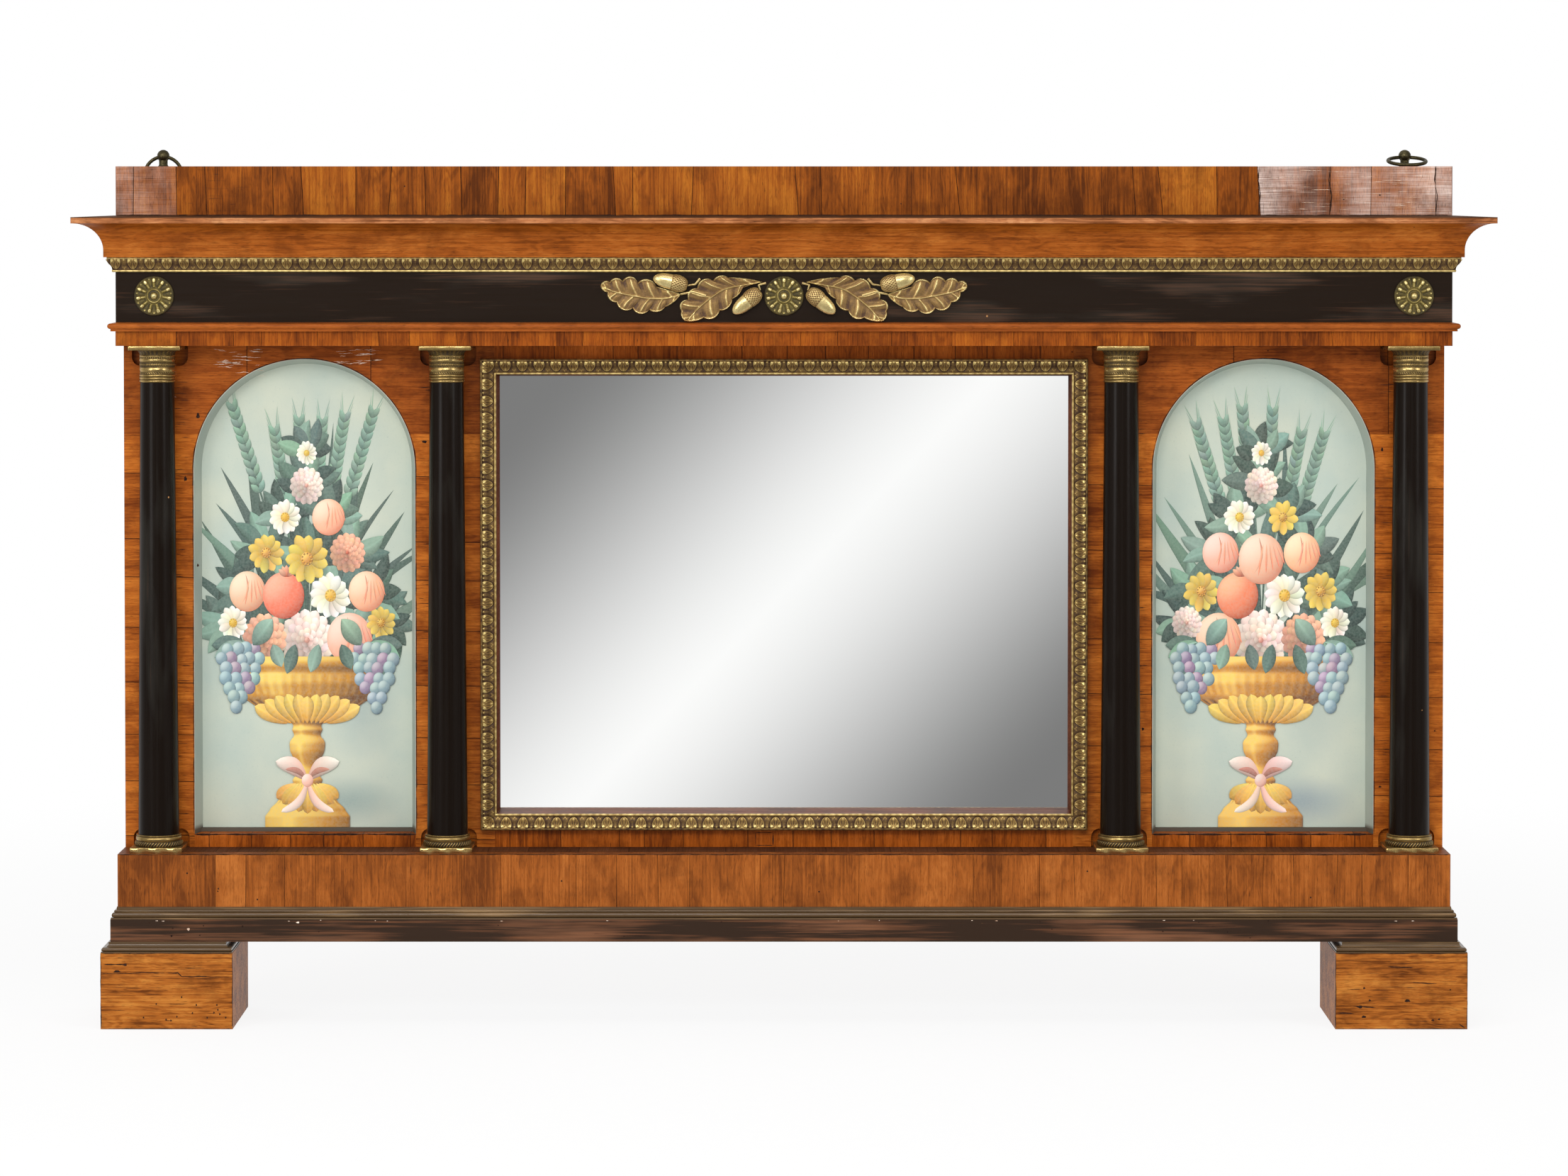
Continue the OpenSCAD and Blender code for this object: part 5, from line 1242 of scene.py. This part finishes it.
def still_life(seed, swap):
    art = {"points": [], "faces": [], "paint": [], "chance": np.random.default_rng(seed)}
    rnd = art["chance"].uniform
    for x, z, r, flat, most in ((46, 30, 62, 0.42, 0.6), (62, 118, 44, 1.3, 0.35)):
        R, A = np.meshgrid(np.linspace(0, 1, 12), np.linspace(0, 2 * np.pi, 41), indexing="ij")
        shadow = np.broadcast_to(tints("6d8590")[0], R.shape + (3,))
        lay(art, x + r * R * np.cos(A), z + r * flat * R * np.sin(A), shadow, most * (1 - R**1.5) ** 1.3)
    for turn in np.linspace(28, 152, 17):
        turn = turn + rnd(-4, 4)
        reach = 205 + 70 * math.sin(math.radians(turn)) ** 6 + rnd(-18, 14)
        stem(art, 0, 168, turn, reach * 0.86, rnd(9, 17), greens[0], greens[1 + int(rnd(0, 2))], rnd(-14, 14))
    for turn in (71, 79, 86, 94, 101, 109):
        corn(art, 0, 190, turn + rnd(-2, 2), rnd(205, 245), greens[1], greens[3])
    heap = [
        (0, 188, 31), (-47, 190, 25), (47, 190, 25), (-82, 205, 17), (82, 205, 17), (-66, 236, 20),
        (66, 236, 20),
    ]
    heap += [
        (-26, 232, 23), (26, 232, 23), (0, 268, 25), (-45, 274, 20), (45, 274, 20), (-24, 309, 18),
        (24, 309, 18),
    ]
    heap += [(0, 340, 19), (0, 372, 12)]
    for x, z, r in heap:
        out = math.degrees(math.atan2(z - 225, x + 0.01))
        for k in range(7):
            turn = out + (k - 3) * 27 + rnd(-10, 10)
            near = greens[int(rnd(0, 3))]
            laurel(art, x, z, turn, r * 1.15 + rnd(12, 24), rnd(13, 19), near, near * 1.25, rnd(-4, 4))
    # d and g are dahlias, p and c fruits, a a white daisy, and s and y yellow ones
    kinds = "dpgdayycapppasda" if swap else "dgpayppcayydapda"
    for (x, z, r), kind in zip(heap, kinds):
        if kind == "d":
            dahlia(art, x, z, r, *(rose if swap or x == 0 else coral))
        elif kind == "g":
            dahlia(art, x, z, r, *coral)
        elif kind == "p":
            fruit(art, x, z, r, *peach)
            petal(art, x - 0.1 * r, z + 0.85 * r, -100, 1.5 * r, 0.1 * r, *peach[:2], 1, 0.8, 0.25 * r)
            for k in range(5):
                u, long = x + (0.1 + 0.14 * k) * r, (1.3 - 0.1 * k) * r
                petal(art, u, z + 0.6 * r, 9 * k - 100, long, 0.09 * r, peach[1], coral[1])
        elif kind == "c":
            fruit(art, x, z, r, *coral)
            for k in range(5):
                petal(art, x + 0.15 * r, z + 0.8 * r, 40 + 25 * k, 0.5 * r, 0.24 * r, coral[0], coral[2])
        elif kind == "a":
            daisy(art, x, z, r, cream[0], cream[2], yellow)
        elif kind == "s":
            daisy(art, x, z, r, yellow[1], yellow[2], ochre, 9)
        else:
            daisy(art, x, z, r, yellow[0], yellow[2], ochre, 11)
    for hand in (-1, 1):
        for k in range(5):
            near = greens[1 + k % 3]
            laurel(art, hand * 70, 186, 90 - hand * (95 + 20 * k), 36, 17, near, near * 1.3)
    turned_vase(art, vessel, [(108, 131, 22, 0.34), (133, 156, 44, 0.12), (26, 40, 18, 0.3)], *ochre)
    for k in sorted(range(-5, 6), key=abs, reverse=True):
        acanthus(art, k * 4.4, 106, 90 - k * 13, 27 + 2.6 * abs(k), 15, ochre[1], ochre[2] * 0.95)
    for k in sorted(range(-4, 5), key=abs, reverse=True):
        acanthus(art, k * 3.2, 47, k * 14 - 90, 30 - abs(k), 13, ochre[2], ochre[1] * 0.9)
    for hand in (-1, 1):
        for row, count in enumerate((4, 5, 4, 4, 3, 2, 1)):
            for k in range(count):
                x = hand * (72 + (k - (count - 1) / 2) * 10.5 + rnd(-1.5, 1.5) + row)
                fruit(
                    art, x, 179 - row * 9.5 + rnd(-1, 1), rnd(6.2, 7.2), *(grape if (k + row) % 4 else plum)
                )
        laurel(art, hand * 60, 183, 90 + hand * 40, 34, 20, greens[1], greens[3])
    for x in (-38, -13, 13, 38):
        near = greens[int(rnd(1, 4))]
        laurel(art, x, 184, rnd(-25, 25) - 90, rnd(24, 32), 15, near, near * 1.3)
    for hand in (-1, 1):
        petal(art, 0, 50, 90 - hand * 62, 40, 17, rose[0], rose[2], 1.2, 0.6, hand * 5, 0.3)
        petal(art, 0, 50, 90 - hand * 66, 27, 6, rose[0] * 0.5, rose[0], 1.2, 0.7, hand * 4, 0.3)
        petal(art, 0, 49, -90 + hand * 44, 42, 9, rose[1], rose[2], 1.3, 0.4, -hand * 7, 0.3)
    fruit(art, 0, 50, 6.5, *rose)
    return art


for hand, name, seed in ((-1, "left", 21), (1, "right", 34)):
    low, high = box_mm("painted_panel_" + name)
    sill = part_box("arch_lining_" + name)[0][2] / MM
    art = still_life(seed, hand > 0)
    slimmer = (0.94, 1, 1.06)  # the heap is drawn a little too wide for the arch
    points = np.concatenate(art["points"]) * slimmer + ((low[0] + high[0]) / 2, low[1], sill)
    faces = np.concatenate(art["faces"])
    paint = np.concatenate(art["paint"])
    mesh_piece("painted_fruit_" + name, points * MM, faces, body_colour, slot="painted_ground", paint=paint)
    print("painted_fruit_" + name, len(art["faces"]), "brush shapes")

# %% [markdown]
# ## Wear
# Age has left marks that no pattern repeats: a long shrinkage crack across the left foot, knots, flight holes,
# lifted veneer over the left arch with painted highlights on its edges, scratches in the painted glare on the
# right end of the parapet, and grime along every joint, with painted shade along edges where parts meet.
# Each mark is a flat shape a few hundredths of a millimetre in front of the wood.

# %% Cracks, knots, holes, grime, painted shade and painted highlights
def patchy_mark_material(name, dark, pale, rough):
    """Grime and painted shade, or pale painted highlights and chips, patchy in tone"""
    m = Material(name, Roughness=rough, Specular_IOR_Level=0.2)
    patch = m.noise(m.place(), 420.0, 4.0)
    m.connect(Base_Color=m.mix(m.ramp(patch, 0.35, 0.65), dark, pale))
    m.bump(patch, strength=0.6)
    return m.made


grime_and_shade = patchy_mark_material("grime in joints and holes, painted shade along edges", "1d0f08", "3a2114", 0.8)
highlights_and_chips = patchy_mark_material("dust and dried polish on lifted veneer", "b99274", "ecdccb", 0.5)


def marks(name, y, spots, lines, material=grime_and_shade):
    """Flat marks on a front at y: spots are x, z, width and height; lines are a path, a width and a waver"""
    points, faces = [], []
    # spots lie 0.07 mm in front of the wood and lines 0.06 mm, so that no two faces meet
    for x, z, wide, tall in spots:
        a = circle(16)
        r = 1 + 0.16 * np.sin(3 * a + x) + 0.1 * np.sin(5 * a + z)
        faces.append(tuple(range(len(points), len(points) + 16)))
        points += [
            (x + wide / 2 * c, y - 0.07, z + tall / 2 * s) for c, s in zip(r * np.cos(a), r * np.sin(a))
        ]
    for path, width, waver in lines:
        spot = even_steps(path)
        count = len(spot)
        ahead = np.gradient(spot, axis=0)
        aside = np.stack((-ahead[:, 1], ahead[:, 0]), -1) / np.hypot(*ahead.T)[:, None]
        stray = np.convolve(chance.normal(0, waver, count + 6), np.ones(7) / 7, "valid")
        spot = spot + aside * stray[:, None]
        ends = np.clip(np.minimum(np.arange(count), np.arange(count)[::-1]) / 2, 0.1, 1)
        rough = np.convolve(chance.normal(1, 0.7, count + 4), np.ones(5) / 5, "valid")
        half = (width / 2 * np.clip(rough, 0.3, 1.8) * ends)[:, None]
        first = len(points)
        points += [
            (p[0], y - 0.06, p[1])
            for p in np.stack((spot - aside * half, spot + aside * half), 1).reshape(-1, 2)
        ]
        faces += [tuple(f + first) for f in grid_faces(count, 2)]
    print(name, len(spots), "spots,", len(lines), "lines")
    return mesh_piece(name, np.array(points) * MM, faces, material, smooth=False, slot="walnut")


def dashes(count, xs, zs, length, width, level=True, waver=0.25):
    """Short lines along the grain, scattered over a rectangle"""
    lines = []
    for _ in range(count):
        long = min(chance.uniform(*length), 0.9 * (xs[1] - xs[0]) if level else 0.9 * (zs[1] - zs[0]))
        x, z = chance.uniform(xs[0], xs[1] - long * level), chance.uniform(zs[0], zs[1] - long * (not level))
        lines.append(([(x, z), (x + long * level, z + long * (not level))], chance.uniform(*width), waver))
    return lines


def grime_and_shade_edges(x0, x1, z0, z1, width):
    """Dark lines along the four edges of a rectangle: grime, and painted shade where the edges meet other parts
    """
    ring = [(x0, z0), (x1, z0), (x1, z1), (x0, z1), (x0, z0)]
    return [([ring[k], ring[k + 1]], width, 0.3) for k in range(4)]


foot_low, foot_high = box_mm("foot_left")
x0, x1, z1 = foot_low[0], foot_high[0], foot_high[2]
lines = [
    ([(x0, 58), (-675, 57.6), (-650, 58.4), (-619.5, 58), (-616, 54.5), (-590, 54), (x1, 53.5)], 0.8, 0.8)
]
# the dark line round the foot's face is grime, and painted shade where it meets the moulding and the floor
lines += [([(-696, 66.2), (-674, 66.4)], 1.3, 0.4)] + grime_and_shade_edges(x0 + 0.3, x1 - 0.3, 0.4, z1 - 0.3, 0.6)
lines += dashes(24, (x0 + 2, x1 - 2), (2, z1 - 3), (6, 22), (0.2, 0.4))
holes = [
    (-642, 26), (-601, 25), (-580, 25), (-579, 20), (-583, 17), (-577, 15.5), (-605, 16.6), (-621, 13),
    (-632, 10),
]
holes += [(-627, 9), (-616, 33), (-655, 12), (-590, 12), (-571, 12)]
spots = [(-674, 66.2, 4.5, 2.6), (-682, 59.3, 7, 2.4)] + [(x, z, 1.5, 2.1) for x, z in holes]
marks("wear_and_shade_foot_left", foot_low[1], spots, lines)
lines = [
    ([(617, 64), (645, 63.4)], 0.8, 0.4), ([(576, 41), (592, 41.5)], 0.8, 0.4),
    ([(640, 48), (668, 47)], 0.7, 0.4),
]
lines += [
    ([(582, 24), (606, 22.5)], 1.0, 0.5), ([(566, 17), (584, 16)], 0.8, 0.4), ([(690, 6), (697, 1)], 1.0, 0.3)
]
# the dark line round this foot's face is grime, and painted shade where it meets the moulding and the floor
lines += grime_and_shade_edges(-x1 + 0.3, -x0 - 0.3, 0.4, z1 - 0.3, 0.6)
lines += dashes(26, (-x1 + 2, -x0 - 2), (2, z1 - 3), (6, 22), (0.2, 0.4))
spots = [
    (637.6, 29.3, 5.5, 3), (593.3, 42.2, 2.2, 2.2), (599, 29.6, 2.2, 2.2), (589, 23, 5, 3.2),
    (593, 12.8, 4.5, 2.4),
]
spots += [(663.7, 9.3, 3, 2), (670, 10.2, 2.4, 2), (681.4, 40.6, 1.6, 1.4)]
marks("wear_and_shade_foot_right", foot_low[1], spots, lines)

plinth_low, plinth_high = box_mm("plinth_front")
half, z0, z1 = plinth_high[0], plinth_low[2], plinth_high[2]
lines = dashes(50, (-half + 3, half - 3), (z0 + 1, z1 - 2), (3, 12), (0.15, 0.3), False)
# dark lines along the plinth's foot and top: grime in the joints, and painted shade where it meets the parts
# above and below
lines += [
    ([(-half, z0 + 0.6), (half, z0 + 0.6)], 1.5, 0.35), ([(-half, z1 - 0.3), (half, z1 - 0.3)], 0.7, 0.2)
]
spots = [
    (x, z, 1.7, 1.9)
    for x, z in ((-580, 142), (-540, 131), (-612, 158), (-228, 150), (36, 139), (311, 160), (540, 133))
]
marks("wear_and_shade_plinth", plinth_low[1] - VENEER, spots, lines)

crest_low, crest_high = box_mm("parapet_front")
half, z0, z1 = crest_high[0], crest_low[2], crest_high[2]
front = crest_low[1] - VENEER
lines = dashes(44, (-half + 3, half - 3), (z0 + 1, z1 - 2), (4, 16), (0.12, 0.3), False)
lines += dashes(20, (-half + 2, -half + 150), (z0 + 2, z1 - 2), (5, 26), (0.12, 0.25))
# a dark line at the foot of the parapet: grime in the joint, and painted shade where it meets the cornice
lines += [([(-half, z0 + 0.4), (half, z0 + 0.4)], 0.7, 0.2)]
lines += [([(x, z0), (x + 2, z0 + 20), (x - 1, z0 + 36), (x + 1, z1)], 0.8, 0.7) for x in (486.5, 559.6, 668)]
spots = [(611, z0 + 21, 2.2, 1.4), (-389, z0 + 30, 1.5, 1.5), (120, z0 + 12, 1.4, 1.4)]
marks("wear_and_shade_parapet", front, spots, lines)
# pale lines over the painted glare: painted highlights on scratches
marks("highlights_parapet", front, [], dashes(60, (484, half - 2), (z0 + 2, z1 - 2), (5, 24), (0.15, 0.3)), highlights_and_chips)

board_low, board_high = box_mm("base_board")
half, z0, z1 = board_high[0], board_low[2], board_high[2]
spots = [
    (-626, z1 - 9, 1.9, 1.9), (-627.4, z1 - 17, 1.9, 2.3), (-554.6, z1 - 7, 2, 2), (388, z1 - 12, 1.8, 1.8)
]
spots += [(x, z0 + chance.uniform(4, 22), 1.4, 1.4) for x in chance.uniform(-half + 10, half - 10, 14)]
lines = dashes(14, (-half + 5, half - 5), (z0 + 3, z1 - 3), (10, 40), (0.2, 0.4))
marks("wear_base_board", board_low[1], spots, lines)
chips = [(-610, z1 - 10, 2.6, 2.6), (-498, z1 - 3, 3.4, 1.6)]
chips += [
    (x, z1 - chance.uniform(0.6, 1.6), chance.uniform(1, 3), 0.6) for x in chance.uniform(-half, half, 16)
]
marks("chips_base_board", board_low[1], chips, [], highlights_and_chips)

case_front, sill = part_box("stile_outer_left")[0][1] / MM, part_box("rail_left")[1][2] / MM
# mm: how far the arches stand from the middle, their radius, and the height where they spring
arch_middle, arch_round, spring = 496.5, 114.8, 569.0
lines, pale = [], []
for hand in (-1, 1):
    middle, r = hand * arch_middle, arch_round + 0.7
    turn = np.linspace(0, np.pi, 60)
    ring = [(middle + r * math.cos(a), spring + r * math.sin(a)) for a in turn]
    ring = [(middle + r, sill)] + ring + [(middle - r, sill)]
    # dark lines round each arch and along its sill: grime in the joint, and painted shade at the edge of the
    # opening
    lines += [(ring, 0.75, 0.15), ([(middle - r, sill - 0.5), (middle + r, sill - 0.5)], 1.4, 0.2)]
    lines += dashes(60, (middle - 149, middle - r - 2), (195, 660), (5, 22), (0.25, 0.6))
    lines += dashes(60, (middle + r + 2, middle + 149), (195, 660), (5, 22), (0.25, 0.6))
# a small patch let into the rail under the glass
for u, z in ((-29.8, 179.1), (-29.8, 192.3)):
    lines.append(([(u, z), (u + 18.4, z)], 0.9, 0.2))
lines += [([(-29.8, 179.1), (-29.8, 192.3)], 0.9, 0.2), ([(-11.4, 179.1), (-11.4, 192.3)], 0.9, 0.2)]
spots = [
    (-606.4, 625, 3.4, 6), (-619.6, 559.7, 3, 5), (-607, 470, 2, 3), (364, 520, 3, 2.4), (-372, 598, 5, 2.6)
]
spots += [(619, 590, 2.5, 4), (372, 300, 2.5, 3), (-366, 260, 2.4, 3), (618, 240, 3, 2)]
marks("wear_and_shade_case", case_front, spots, lines)
# pale wavy lines over the arch heads: painted highlights on the edges of lifted veneer
for xs, zs, count in (
    ((-592, -533), (664, 694), 26), ((-468, -412), (678, 694), 20), ((-645, -628), (600, 690), 16)
):
    pale += dashes(count, xs, zs, (5, 22), (0.2, 0.6), True, 1.6)
marks("highlights_case", case_front, [], pale, highlights_and_chips)

# %% [markdown]
# ## Sizes
# The box of the dressed mirror is printed beside the box of the bare model, to compare them.

# %% Write the sizes and finish
low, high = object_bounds()
print("dressed", tuple(low), tuple(high))
